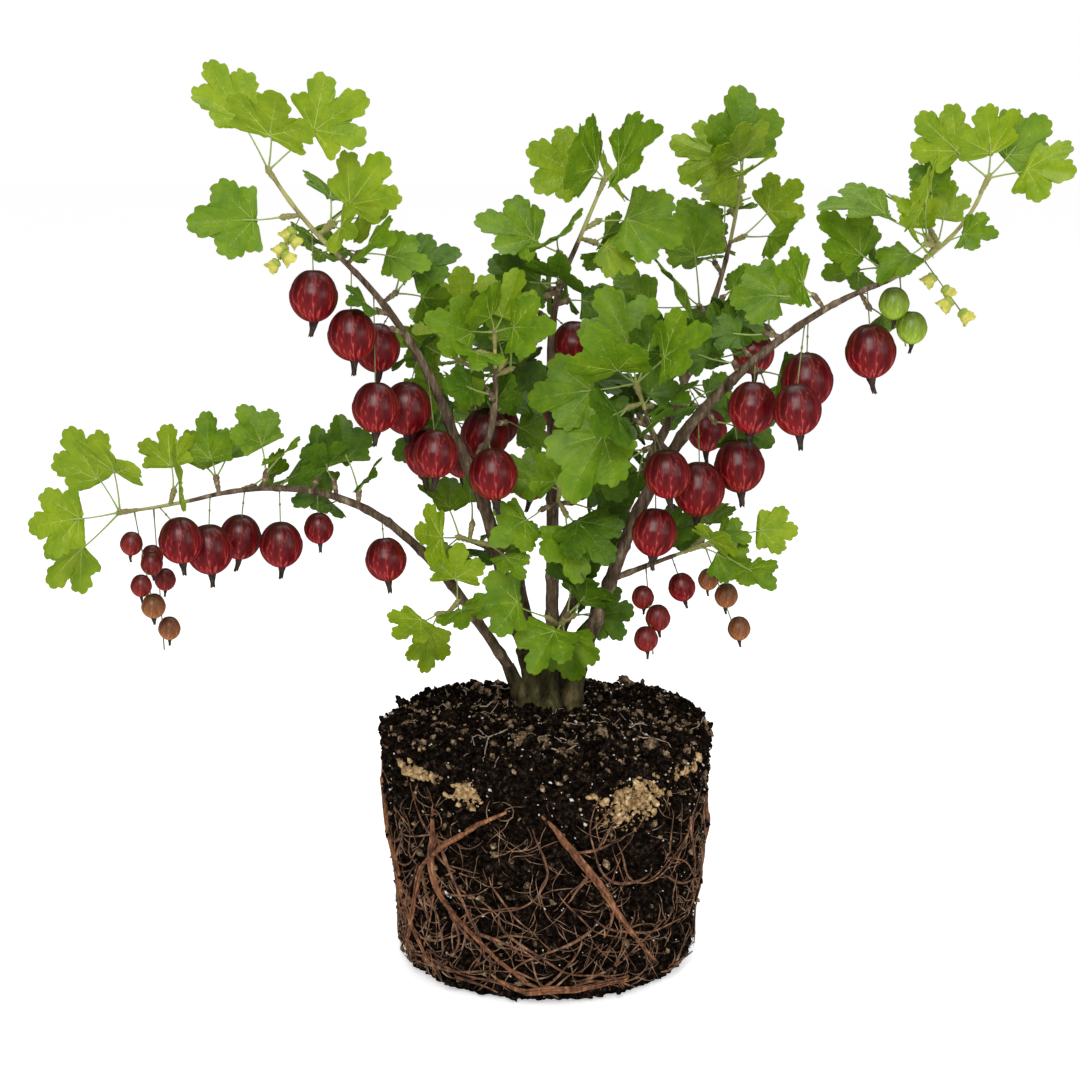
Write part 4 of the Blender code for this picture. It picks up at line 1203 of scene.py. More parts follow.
def faced_out(obj):
    """Turns all faces of the body outwards."""
    picked(obj)
    bpy.ops.object.mode_set(mode="EDIT")
    bpy.ops.mesh.select_all(action="SELECT")
    bpy.ops.mesh.normals_make_consistent(inside=False)
    bpy.ops.object.mode_set(mode="OBJECT")


def stalk_form():
    """A bowed stalk of unit length and radius along +Y, thicker where it joins."""
    stalk = rings_form("stalk", 6, [(0, 1.7), (0.06, 1.15), (0.3, 0.95), (0.55, 0.85),
                                    (0.8, 0.85), (1.0, 1.0)])
    for vert in stalk.vertices:
        vert.co.z += 1.6 * math.sin(math.pi * vert.co.y)
    return stalk


def pedicel_form():
    """A thin stalk with a joint a third of the way down."""
    return rings_form("pedicel", 6, [(0, 1.3), (0.1, 0.75), (0.30, 0.7), (0.34, 1.5),
                                     (0.38, 0.75), (0.7, 0.7), (1.0, 0.95)])


def spur_form(draw):
    """A short knobbly side twig, ringed by old leaf scars, that ends in a bud's open scales."""
    rings = [(0, 0.55), (0.12, 0.72), (0.22, 0.62), (0.34, 0.85), (0.42, 0.70), (0.56, 0.98),
             (0.62, 0.80), (0.74, 1.10), (0.84, 0.86), (0.93, 0.42), (1.0, 0.12)]
    return rings_form("spur", 9, rings, 0.13, draw)


def scales_form(draw):
    """Small pointed scales round a bud, set off from a spur's end."""
    picked()
    made = []
    for number in range(6):
        turn = math.tau * number / 6 + draw.uniform(-0.3, 0.3)
        bpy.ops.mesh.primitive_cone_add(vertices=5, radius1=0.42, radius2=0.02, depth=0.42)
        scale = bpy.context.active_object
        for vert in scale.data.vertices:
            vert.co = (vert.co.x * 1.1, vert.co.z + 0.16, vert.co.y * 0.32)
        tilt = Matrix.Rotation(math.radians(-34 + draw.uniform(-8, 8)), 4, "X")
        lift = Matrix.Translation((0, 0.52 + draw.uniform(-0.06, 0.06), 0.78))
        scale.data.transform(Matrix.Rotation(turn, 4, "Y") @ lift @ tilt)
        made.append(scale)
    picked(*made)
    bpy.ops.object.join()
    faced_out(made[0])
    return taken_mesh(made[0], "scales")


def round_body(name, sides, rings, place):
    """A sphere whose points are placed by their share of the way down it and their turn."""
    picked()
    bpy.ops.mesh.primitive_uv_sphere_add(segments=sides, ring_count=rings, radius=1)
    body = bpy.context.active_object
    for vert in body.data.vertices:
        share = math.acos(max(-1, min(1, vert.co.z))) / math.pi
        vert.co = place(share, math.atan2(vert.co.y, vert.co.x))
    return taken_mesh(body, name)


def berry_form(name, segments, rings):
    """A round berry along +Y from its stalk, slightly dented at the top. Each point keeps its turn
    round the berry, and how far down it is, for the stripes."""
    picked()
    bpy.ops.mesh.primitive_uv_sphere_add(segments=segments, ring_count=rings, radius=1,
                                         rotation=(-math.pi / 2, 0, 0))
    berry = bpy.context.active_object
    bpy.ops.object.transform_apply(location=False, rotation=True, scale=False)
    places = berry.data.attributes.new("place", "FLOAT_VECTOR", "POINT")
    for vert, place in zip(berry.data.vertices, places.data):
        x, y, z = vert.co
        wide = max(math.hypot(x, z), 1e-6)
        place.vector = (x / wide, z / wide, y)
        dent = 0.09 * math.exp(-(wide / 0.20) ** 2) if y < 0 else 0.0
        full = 1 + 0.035 * (1 - y * y) * (y > -0.2)
        vert.co = (x * full * BERRY_WIDE, BERRY_TALL * (1 + y) + dent, z * full * BERRY_WIDE)
    return taken_mesh(berry, name)


def tail_form(draw):
    """The withered flower under a berry: a dry ragged tube."""
    tall = 2 * BERRY_TALL
    end = tall + BERRY_TAIL
    rings = [(tall - 0.10, 0.02), (tall - 0.05, 0.21), (tall + 0.05, 0.16), (tall + 0.24, 0.12),
             (tall + 0.42, 0.10), (end, 0.10), (end - 0.10, 0.03)]
    tail = rings_form("tail", 8, rings, 0.16, draw)
    for number, vert in enumerate(tail.vertices):
        if vert.co.y > end - 0.02:
            vert.co.y += 0.10 * (number % 2) - 0.09
        vert.co.x += TAIL_LEAN * max(0, vert.co.y - tall) ** 1.5
    return tail


def flower_form():
    """A small flower along +Y: a round base, a bell, and five petals turned back."""
    rings = [(0, 0.40), (0.12, 0.74), (0.42, 0.96), (0.75, 0.86), (1.1, 1.02), (1.7, 1.16),
             (2.15, 1.12), (2.0, 0.80), (1.6, 0.46), (2.2, 0.22)]
    flower = rings_form("flower", 10, rings)
    for vert in flower.vertices:
        turn = math.atan2(vert.co.z, vert.co.x) / math.tau * 10
        if abs(vert.co.y - 2.15) < 0.01:
            petal = round(turn) % 2 == 0
            push = 1.24 if petal else 0.94
            vert.co = (vert.co.x * push, 2.25 if petal else 1.9, vert.co.z * push)
        elif abs(vert.co.y - 1.7) < 0.01 and math.hypot(vert.co.x, vert.co.z) > 0.5:
            push = 1.12 if round(turn) % 2 == 0 else 0.92
            vert.co = (vert.co.x * push, vert.co.y, vert.co.z * push)
    for face in flower.polygons:
        face.material_index = int(face.center.y > 0.6)
    return flower


def thorn_form():
    """A straight thorn with a broad foot."""
    return rings_form("thorn", 5, [(0, 0.26), (0.15, 0.15), (0.6, 0.07), (1.0, 0.01)])


def crumb_form(name, draw, cuts=1):
    """An uneven lump, drawn out one way and dented all over."""
    picked()
    bpy.ops.mesh.primitive_ico_sphere_add(subdivisions=cuts, radius=1)
    lump = bpy.context.active_object
    shift = Vector((draw.uniform(0, 50), draw.uniform(0, 50), draw.uniform(0, 50)))
    drawn = Vector((draw.uniform(0.95, 1.25), draw.uniform(0.6, 0.95), draw.uniform(0.6, 0.9)))
    for vert in lump.data.vertices:
        out = vert.co.normalized()
        size = 0.88 + 0.62 * noise.noise(out * 1.5 + shift) + 0.40 * noise.noise(out * 4 + shift)
        vert.co = out * (size + draw.uniform(-0.07, 0.07)) * drawn
    return taken_mesh(lump, name)


# Pieces joined from many copies


def read(items, field, width, kind):
    """The field of every item, as rows of this width."""
    values = np.empty(len(items) * width, kind)
    items.foreach_get(field, values)
    return values.reshape(-1, width) if width > 1 else values


def arrays_of(mesh):
    """The mesh's points, face corners, face sizes, material numbers and place attribute."""
    places = None
    if "place" in mesh.attributes:
        places = read(mesh.attributes["place"].data, "vector", 3, np.float32)
    return (read(mesh.vertices, "co", 3, np.float32),
            read(mesh.loops, "vertex_index", 1, np.int32),
            read(mesh.polygons, "loop_total", 1, np.int32),
            read(mesh.polygons, "material_index", 1, np.int32), places)


def joined(name, copies, finishes, sharp):
    """One object of (mesh, matrix) copies, with the finishes in the meshes' slot order. Edges
    sharper than this many degrees stay sharp."""
    known = {}
    points, corners, sizes, slots, places = [], [], [], [], []
    count = 0
    for mesh, matrix in copies:
        if mesh.name not in known:
            known[mesh.name] = arrays_of(mesh)
        own, own_corners, own_sizes, own_slots, own_places = known[mesh.name]
        turn = np.array(matrix)
        points.append(own @ turn[:3, :3].T + turn[:3, 3])
        corners.append(own_corners + count)
        sizes.append(own_sizes)
        slots.append(own_slots)
        if own_places is not None:
            places.append(own_places)
        count += len(own)
    mesh = bpy.data.meshes.new(name)
    corners, sizes = np.concatenate(corners), np.concatenate(sizes)
    mesh.vertices.add(count)
    mesh.vertices.foreach_set("co", np.concatenate(points).astype(np.float32).ravel())
    mesh.loops.add(len(corners))
    mesh.loops.foreach_set("vertex_index", corners)
    mesh.polygons.add(len(sizes))
    mesh.polygons.foreach_set("loop_start", np.concatenate([[0], np.cumsum(sizes)[:-1]]))
    mesh.update(calc_edges=True)
    for finish_name in finishes:
        mesh.materials.append(bpy.data.materials[finish_name])
    mesh.polygons.foreach_set("material_index", np.concatenate(slots))
    if places:
        kept = mesh.attributes.new("place", "FLOAT_VECTOR", "POINT")
        kept.data.foreach_set("vector", np.concatenate(places).ravel())
    mesh.validate()
    mesh.shade_smooth()
    mesh.set_sharp_from_angle(angle=math.radians(sharp))
    return shown(name, mesh)


def add_piece(name, copies, finishes, sharp=60, replaced=()):
    """A visible piece. It rides on the one body, and hides the plain parts that it replaces."""
    piece = joined(name, copies, finishes, sharp)
    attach(piece, "root")
    if replaced:
        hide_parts(*replaced)


def in_place(*meshes):
    """Copies of the meshes where they are."""
    return [(mesh, Matrix.Identity(4)) for mesh in meshes]


# Finishes


def new_finish(name, rough, gloss):
    """A new Principled material's nodes, links and shader."""
    made = bpy.data.materials.new(name)
    made.use_nodes = True
    tree = made.node_tree
    shader = tree.nodes["Principled BSDF"]
    shader.inputs["Roughness"].default_value = rough
    shader.inputs["Specular IOR Level"].default_value = gloss
    return tree.nodes, tree.links, shader


def add_node(nodes, kind, values):
    """A shader node with these values at its inputs."""
    made = nodes.new("ShaderNode" + kind)
    for name, value in values.items():
        made.inputs[name].default_value = value
    return made


def add_noise(nodes, links, source, values):
    """Noise that is read at the source's vector."""
    made = add_node(nodes, "TexNoise", values)
    links.new(source.outputs["Vector"], made.inputs["Vector"])
    return made


def add_ramp(nodes, links, source, stops):
    """Colours at their places along the source's values."""
    made = nodes.new("ShaderNodeValToRGB")
    ramp = made.color_ramp
    ramp.elements.remove(ramp.elements[1])
    for number, (place, tone) in enumerate(stops):
        stop = ramp.elements[0] if number == 0 else ramp.elements.new(place)
        stop.position = place
        stop.color = (*tone, 1)
    links.new(source.outputs["Fac"], made.inputs["Fac"])
    return made


def add_finish(name, tones, grain, rough, bump=0.0, bump_grain=0, stretch=1.0, spots=0.5,
               gloss=0.5):
    """A finish whose colour runs through the tones by noise on object coordinates, with a fine
    bump. Grain is in noise cells for each metre. A stretch below 1 draws the noise out in height,
    and more spots make it rougher."""
    nodes, links, shader = new_finish(name, rough, gloss)
    where = nodes.new("ShaderNodeTexCoord")
    scaled = add_node(nodes, "Mapping", {"Scale": (1, 1, stretch)})
    links.new(where.outputs["Object"], scaled.inputs["Vector"])
    blotches = add_noise(nodes, links, scaled, {"Scale": grain, "Detail": 5, "Roughness": spots})
    stops = zip(tapered(RAMP_START, RAMP_END, len(tones)), tones)
    ramp = add_ramp(nodes, links, blotches, stops)
    links.new(ramp.outputs["Color"], shader.inputs["Base Color"])
    if bump:
        fine = add_noise(nodes, links, scaled, {"Scale": bump_grain, "Detail": 3})
        relief = add_node(nodes, "Bump", {"Strength": 1.0, "Distance": bump})
        links.new(fine.outputs["Fac"], relief.inputs["Height"])
        links.new(relief.outputs["Normal"], shader.inputs["Normal"])


def add_berry_finish(name, skin, stripe, shade, rough):
    """Skin with pale stripes from pole to pole, read from each berry's own place attribute, with
    painted light: darker towards the stalk as painted shade, and brighter towards the tail as a
    painted glow of light shining through."""
    nodes, links, shader = new_finish(name, rough, BERRY_GLOSS)
    where = nodes.new("ShaderNodeAttribute")
    where.attribute_name = "place"
    scaled = add_node(nodes, "Mapping", {"Scale": (1, 1, STRIPE_STRETCH)})
    links.new(where.outputs["Vector"], scaled.inputs["Vector"])
    lines = add_noise(nodes, links, scaled, STRIPE_NOISE)
    tones = {"skin": skin, "stripe": stripe, "shade": shade}
    ramp = add_ramp(nodes, links, lines, [(place, tones[kind]) for place, kind in STRIPES])
    # Painted light: the colour is scaled from painted shade at the stalk to a painted glow at the
    # tail
    parts = nodes.new("ShaderNodeSeparateXYZ")
    links.new(where.outputs["Vector"], parts.inputs["Vector"])
    down = add_node(nodes, "MapRange", BERRY_PAINTED_LIGHT)
    links.new(parts.outputs["Z"], down.inputs["Value"])
    shaded = nodes.new("ShaderNodeVectorMath")
    shaded.operation = "SCALE"
    links.new(ramp.outputs["Color"], shaded.inputs[0])
    links.new(down.outputs["Result"], shaded.inputs["Scale"])
    links.new(shaded.outputs["Vector"], shader.inputs["Base Color"])
    shader.inputs["Subsurface Weight"].default_value = 0.04
    shader.inputs["Subsurface Radius"].default_value = (1.0, 0.25, 0.15)
    shader.inputs["Subsurface Scale"].default_value = 0.004


def add_finishes():
    """Every finish, made once by its name."""
    for name, look in FINISHES.items():
        add_finish(name, *look)
    for age, (upper, under, vein) in LEAF_TONES.items():
        add_finish(age + "_leaf", upper, 120, 0.42, 0.0007, 420, gloss=0.24)
        add_finish(age + "_underside", (under, [1.15 * part for part in under]), 90, 0.62,
                   0.0004, 420, gloss=0.3)
        add_finish(age + "_veins", (vein, [1.2 * part for part in vein]), 120, 0.55, gloss=0.3)
    for stage, look in BERRY_SKINS.items():
        add_berry_finish(stage + "_skin", *look)


# Foliage, fruit and flowers


def age_of(youth, draw):
    """Leaves are young at a shoot's tip, and older further in."""
    vigour = youth + draw.gauss(0, AGE_SPREAD)
    return "young" if vigour > YOUNG_FROM else "grown" if vigour > GROWN_FROM else "old"


def widened(width):
    """Makes a form that lies along +Y this much wider."""
    return Matrix.Diagonal((width, 1, width, 1))


def foliage(masses):
    """All leaves, a piece for each age, and their stalks."""
    forms = {age: [leaf_form(f"{age}_form_{number}", random.Random(f"{age} leaf {number}"),
                             age == "young") for number in range(count)]
             for age, count in FORMS.items()}
    stalk = stalk_form()
    draw = random.Random("leaf ages")
    copies = {age: [] for age in FORMS}
    stalks = []
    for name, mass in masses.items():
        for kind, matrix, youth in mass.pieces:
            if kind == "leaf":
                # Inner masses take older, darker leaves: partly their real age, and partly painted
                # shade
                age = age_of(youth - OLDER_AND_SHADED.get(name, 0), draw)
                at_tip = youth > TIP_YOUTH
                size = TIP_SIZES.get(name, TIP_SIZE) if at_tip else draw.uniform(*LEAF_SIZE)
                roll = 0
                if draw.random() < TURNED_OVER:
                    roll = 180
                elif draw.random() < LEAF_ROLLED:
                    roll = draw.uniform(-LEAF_ROLL, LEAF_ROLL)
                turn = Matrix.Scale(size, 4) @ Matrix.Rotation(math.radians(roll), 4, "Y")
                copies[age].append((draw.choice(forms[age]), matrix @ turn))
            elif kind == "leaf_stalk":
                stalks.append((stalk, matrix @ widened(STALK_WIDTH)))
    replaced = list(MASSES)
    for age, leaves in copies.items():
        faces = [age + side for side in ("_leaf", "_underside", "_veins")]
        add_piece(age + "_leaves", leaves, faces, 50, replaced)
        replaced = ()
    add_piece("leaf_stalks", stalks, ["stalk_green"])


def wood_twigs(masses):
    """The spurs with their bud scales, and thorns beside them."""
    forms = [spur_form(random.Random(f"spur {number}")) for number in range(SPUR_FORMS)]
    scales = scales_form(random.Random("scales"))
    thorn = thorn_form()
    draw = random.Random("spurs")
    old, green, buds, thorns = [], [], [], []
    for mass in masses.values():
        for kind, matrix, youth in mass.pieces:
            if kind != "spur":
                continue
            slim = matrix @ widened(SPUR_WIDTH)
            buds.append((scales, slim))
            spurs = green if youth > GREEN_SPURS else old
            spurs.append((draw.choice(forms), slim))
            for _ in range(draw.choice(THORNS) if spurs is old else 0):
                out = Matrix.Rotation(draw.uniform(0, math.tau), 3, "Y")
                way = (matrix.to_3x3() @ out @ Vector((1, 0.2, 0))).normalized()
                length = THORN_LENGTH * draw.uniform(*THORN_SPREAD)
                thorns.append((thorn, placed(matrix.translation, way, way.orthogonal(), length,
                                             length)))
    add_piece("spurs", old, ["spur_bark"], 70)
    add_piece("young_spurs", green, ["young_spur"], 70)
    add_piece("buds", buds, ["bud_scales"])
    add_piece("thorns", thorns, ["thorn_brown"])


def fruit(masses):
    """Ripe berries on their pedicels, strings of small fruit in three stages, and flowers."""
    ripe = berry_form("ripe_form", 36, 24)
    small = berry_form("small_form", 22, 14)
    tails = [tail_form(random.Random(f"tail {number}")) for number in range(TAIL_FORMS)]
    flower, pedicel = flower_form(), pedicel_form()
    draw = random.Random("fruit")
    berries = {stage: [] for stage in BERRY_SKINS}
    ends, stalks, bells = [], [], []
    for name, mass in masses.items():
        for kind, matrix, _ in mass.pieces:
            if kind == "berry":
                berries["ripe"].append((ripe, matrix))
            elif kind == "bead":
                berries[bead_stage(name, matrix)].append((small, matrix))
            elif kind == "flower":
                bells.append((flower, matrix))
            elif kind in ("berry_stalk", "rod"):
                stalks.append((pedicel, matrix @ widened(PEDICEL_WIDTH)))
            if kind in ("berry", "bead"):
                spin = Matrix.Rotation(draw.uniform(0, math.tau), 4, "Y")
                ends.append((draw.choice(tails), matrix @ spin))
    for stage, copies in berries.items():
        add_piece(stage + "_berries", copies, [stage + "_skin"])
    add_piece("berry_tails", ends, ["tail_brown"], 70)
    add_piece("pedicels", stalks, ["pedicel_green"])
    add_piece("flowers", bells, ["flower_green", "petal_yellow"])


def bead_stage(name, matrix):
    """Small fruit is green high on the right, and turns from red to tan down the strings."""
    if name == "right_foliage":
        return "green"
    place = matrix.translation
    late = place.x > RIGHT_BEADS if name == "low_right_foliage" else place.z < LOW_BEADS
    return "tan" if late else "red"


# Wood


def smooth_line(points, step):
    """Points at even steps along a smooth curve through the limb's own points."""
    line = [points[0]]
    for number in range(len(points) - 1):
        before = points[max(number - 1, 0)]
        low, high = points[number], points[number + 1]
        after = points[min(number + 2, len(points) - 1)]
        count = max(1, round((high - low).length / step))
        for part in range(1, count + 1):
            t = part / count
            line.append(((2 * low) + (high - before) * t
                         + (2 * before - 5 * low + 4 * high - after) * t * t
                         + (3 * low - before - 3 * high + after) * t ** 3) / 2)
    return line


def way_along(line, number):
    """The way from the point before this one on the line to the point after it."""
    return line[min(number + 1, len(line) - 1)] - line[max(number - 1, 0)]


def bark_limb(points, foot, tip, relief, step=BARK_STEP, sides=BARK_SIDES):
    """A limb with ridged bark and swollen nodes. Its surface is read along the limb, so that the
    ridges run with it."""
    line = smooth_line(points, step)
    radii = tapered(foot, tip, len(line))
    mesh = tube_mesh(line, radii, sides)
    centres = np.array(line)
    for vert in mesh.vertices:
        number = int(np.argmin(((centres - np.array(vert.co)) ** 2).sum(axis=1)))
        axis = way_along(line, number).normalized()
        out = vert.co - line[number]
        out -= axis * out.dot(axis)
        if out.length < radii[number] * 0.3:
            continue
        along = number * step
        where = out.normalized() * RIDGES_AROUND + axis * (along * RIDGES_ALONG)
        ridge = sum(noise.noise(where * cells) * rise for cells, rise in BARK_RIDGES)
        past_node = (along % NODE_GAP) - NODE_GAP / 2
        node = math.exp(-(past_node / NODE_WIDE) ** 2) * NODE_RISE
        vert.co += out * (ridge * relief + node)
    return mesh


def wood(masses):
    """Stump, boughs and the older part of each stem in bark, and green shoots at the ends."""
    limbs = [bark_limb(bough_points(spec), spec[-2] * LIMB_WIDTH, spec[-1] * LIMB_WIDTH, 1.0)
             for spec in BOUGHS.values()]
    add_piece("boughs", in_place(*limbs), ["old_bark"], 70, list(BOUGHS))
    old, shoots = [], []
    for mass in masses.values():
        split = max(2, round(len(mass.points) * SHOOT_SHARE))
        foot, tip = mass.foot_radius * LIMB_WIDTH, mass.tip_radius * TIP_WIDTH
        middle = (foot + (tip - foot) * SHOOT_SHARE) * MIDDLE_WIDTH
        old.append(bark_limb(mass.points[:split + 1], foot, middle, 0.8, sides=10))
        if len(mass.points) > split + 1:
            shoots.append(bark_limb(mass.points[split:], middle, tip, 0.35, 0.004, 8))
    add_piece("stems", in_place(*old), ["old_bark"], 70)
    add_piece("shoots", in_place(*shoots), ["shoot_green"], 70)
    add_piece("stump_wood", in_place(stump_body(), *bough_feet()), ["stump_bark"], 80,
              ["stump"])


def profile_run(profile):
    """Gives the (radius, height) at a share of the way along the profile."""
    gaps = [math.dist(low, high) for low, high in zip(profile, profile[1:])]
    gone = np.cumsum([0] + gaps)

    def at(share):
        return [float(np.interp(share * gone[-1], gone, values)) for values in zip(*profile)]
    return at


def stump_body():
    """The stump, with fibrous ridges down its flared foot."""
    run = profile_run(STUMP_PROFILE[:-2] + (STUMP_FOOT, (0, STUMP_FOOT[1])))

    def place(share, turn):
        radius, height = run(share)
        down = 1 - height / STUMP_PROFILE[0][1]
        flare = 1 + STUMP_FLARE * down * math.cos(5 * turn)
        rough = 1 + sum(rise * noise.noise(around(turn, cells, height * cells_up))
                        for cells, cells_up, rise in STUMP_RIDGES)
        out = around(turn, radius * flare * rough)
        return out.x * STUMP_WIDE, out.y * STUMP_DEEP, height
    mesh = round_body("stump", 72, 44, place)
    mesh.transform(Matrix.Translation(STUMP_PLACE))
    return mesh


def bough_feet():
    """The boughs' spread feet, which run down into the compost."""
    feet = []
    for spec in BOUGHS.values():
        start, after = bough_points(spec)[1:3]
        lead = (start - STUMP_PLACE) * FOOT_LEAD
        root = start + Vector((lead.x, lead.y, SOIL_HEIGHT - FOOT_SINK - start.z))
        foot, tip = spec[-2] * FOOT_WIDE, spec[-2] * FOOT_NARROW
        feet.append(bark_limb([root, start.lerp(root, 0.4), after], foot, tip, 1.3))
    return feet


# Root ball


def crumbly(point):
    """How far the compost stands out here: rounded crumbs with cracks between them."""
    near = noise.voronoi(point / CRUMB_CELL)[0]
    fine = noise.voronoi(point / (CRUMB_CELL * FINE_CELL))[0]
    edge = min(near[1] - near[0], 0.5)
    rough = SOIL_ROUGH if point.z > BALL_RIM_HEIGHT else SIDE_ROUGH
    return (CRUMB_RISE * (edge - 0.25) + CRUMB_RISE * 0.5 * (0.4 - fine[0])
            + rough * noise.noise(point / ROUGH_PITCH))


def ball_side(turn, height, stand):
    """A point on the ball's crumbly side."""
    point, out = side_place(turn, height)
    return point + out * (crumbly(point) + stand)


def root_bed(turn, height):
    """A point where a root lies on the ball's side, over the small crumbs, and the way out."""
    point, out = side_place(turn, height)
    loose = ROOT_LOOSE * noise.noise(point / 0.012)
    return point + out * (ROOT_LIFT + loose), out


def soil_point(turn, radius, stand):
    """A point on the soil's crumbly top, which sinks towards the rim."""
    radii, heights = zip(*BALL_PROFILE[:SOIL_POINTS])
    point = lumpy(around(turn, radius, float(np.interp(radius, radii, heights))))
    return point + Vector((0, 0, crumbly(point) + stand))


def compost_body():
    """The ball itself, crumbly all over but flat beneath."""
    run = profile_run(BALL_PROFILE)

    def place(share, turn):
        radius, height = run(np.interp(share, LATITUDE_SHARES, PROFILE_SHARES))
        point = lumpy(around(turn, radius, height))
        if height > 1e-5:
            out = around(turn)
            if height > BALL_RIM_HEIGHT + 0.001:
                out *= min(radius / BALL_RIM_RADIUS, 1) ** 4
                out = (out + Vector((0, 0, 1))).normalized()
            point = point + out * crumbly(point)
        return point.x, point.y, max(point.z, 0.0)
    ball = round_body("ball", BALL_TURNS, BALL_LATITUDES, place)
    add_piece("compost_ball", in_place(ball), ["compost_black"], 80, ["root_ball"])


def drawn_size(draw, least, more, power):
    """A size by one of the rows of sizes above."""
    return least + more * draw.random() ** power


def soil_radius(draw, low, high):
    """A radius on the soil, spread evenly over its area."""
    return BALL_RIM_RADIUS * math.sqrt(draw.uniform(low, high))


def crumbs():
    """Crumbs and clods of compost, white specks, and patches of pale lumps."""
    draw = random.Random("crumbs")
    forms = [crumb_form(f"crumb_{number}", random.Random(f"crumb {number}"))
             for number in range(6)]
    clods = [crumb_form(f"clod_{number}", random.Random(f"clod {number}"), 3)
             for number in range(3)]
    dark, brown, white, pale = [], [], [], []

    def lay(heap, shapes, point, size):
        shape = draw.choice(shapes)
        way = Vector([draw.gauss(0, 1) for _ in range(3)]).normalized()
        long = size * draw.uniform(0.75, 1.2)
        heap.append((shape, placed(point, way, way.orthogonal(), size, long)))

    for number in range(CRUMBS):
        turn = draw.uniform(0, math.tau)
        size = drawn_size(draw, *CRUMB_SIZE)
        if number % 2:
            point = soil_point(turn, soil_radius(draw, 0.03, 1.0), size * 0.2)
        else:
            height = BALL_RIM_HEIGHT * (1 - draw.random() ** 1.2 * 0.98)
            point = ball_side(turn, height, size * 0.1 * draw.uniform(-2, 2))
        lay(brown if draw.random() < BROWN_SHARES[number % 2] else dark, forms, point, size)
    for _ in range(CLODS):
        turn = draw.uniform(0, math.tau)
        radius = soil_radius(draw, 0.20, 0.99)
        size = drawn_size(draw, *CLOD_SIZE)
        heap = brown if draw.random() < BROWN_CLODS else dark
        lay(heap, clods, soil_point(turn, radius, size * 0.15), size)
    for _ in range(SPECKS):
        turn = draw.uniform(0, math.tau)
        if draw.random() < SPECKS_ON_SOIL:
            point = soil_point(turn, soil_radius(draw, 0.02, 0.98), 0.0004)
        else:
            height = BALL_RIM_HEIGHT * (1 - draw.random() ** 1.9 * 0.95)
            point = ball_side(turn, height, 0.0003)
        lay(white, forms, point, drawn_size(draw, *SPECK_SIZE))
    whole = sum(patch[-1] for patch in PATCHES)
    for middle, height, reach, rise, share in PATCHES:
        for _ in range(LUMPS * share // whole):
            turn = math.radians(middle) + draw.gauss(0, 0.5) * reach / BALL_RIM_RADIUS
            size = drawn_size(draw, *LUMP_SIZE)
            up = height + draw.gauss(0, 0.5) * rise
            if up < BALL_RIM_HEIGHT:
                point = ball_side(turn, up, size * 0.3)
            else:
                point = soil_point(turn, BALL_RIM_RADIUS + BALL_RIM_HEIGHT - up, size * 0.3)
            lay(pale, forms, point, size)
    add_piece("dark_crumbs", dark, ["compost_black"], 80)
    add_piece("brown_crumbs", brown, ["brown_crumb"], 80)
    add_piece("white_specks", white, ["white_speck"], 80)
    add_piece("pale_lumps", pale, ["pale_lump"], 80)


def root_piece(name, lines, sides, finish):
    """One piece of many roots, each (points, thickest radius): thin where it comes out of the
    compost, and drawn out to a fine end."""
    curve = round_curve(name, sides)
    for points, radius in lines:
        radii = []
        for share, point in zip(tapered(0, 1, len(points)), points):
            wide = radius * min(1, 0.35 + share * 4) * (1 - 0.72 * share)
            radii.append(wide * (1 + 0.16 * noise.noise(Vector(point) / 0.006)))
        add_line(curve, points, radii)
    mesh = applied_mesh(shown(name, curve))
    add_piece(name, in_place(mesh), [finish], 70)


def creeping(turn, height, course, length, radius, draw, bend=5):
    """A root that creeps over the ball's side and curves as it goes. The course is in degrees from
    straight down. Gives its points, and (turn, height, course) at each."""
    points, places = [], []
    curl = draw.gauss(0, bend)
    count = max(LEAST_POINTS, round(length / ROOT_STEP))
    for number in range(count):
        point, out = root_bed(turn, height)
        sink = ROOT_LIFT + radius if number in (0, count - 1) else 0
        points.append(point - out * sink)
        places.append((turn, height, course))
        curl = curl * CURL_KEPT + draw.gauss(0, bend)
        course += curl
        turn += math.sin(math.radians(course)) * ROOT_STEP / BALL_FOOT_RADIUS
        height -= math.cos(math.radians(course)) * ROOT_STEP
        if not ROOT_LOW < height < ROOT_HIGH:
            break
    return points, places


def keep_root(found, radius, level, draw, kept, forks=None):
    """Keeps a root unless it is too short, and then its forks: (length, level)."""
    points, places = found
    if len(points) >= LEAST_POINTS:
        kept[level].append((points, radius))
        if forks:
            branch_out(places, *forks, radius, draw, kept)


def branch_out(places, length, level, radius, draw, kept):
    """Side roots that fork off along a root, and finer ones off them."""
    gap = FORK_GAPS[level]
    side = draw.choice((1, -1))
    for number in range(draw.randrange(1, gap + 1), len(places) - 1, gap):
        if draw.random() < FORKS_SKIPPED:
            continue
        turn, height, course = places[number]
        side = -side if draw.random() < SIDES_SWAPPED else side
        own = length * draw.uniform(*FORK_LENGTH)
        thin = radius * draw.uniform(*FORK_WIDTH)
        course += side * draw.uniform(*FORK_ANGLE)
        found = creeping(turn, height, course, own, thin, draw)
        keep_root(found, thin, min(level + 1, 2), draw, kept, (own, 1) if level < 1 else None)


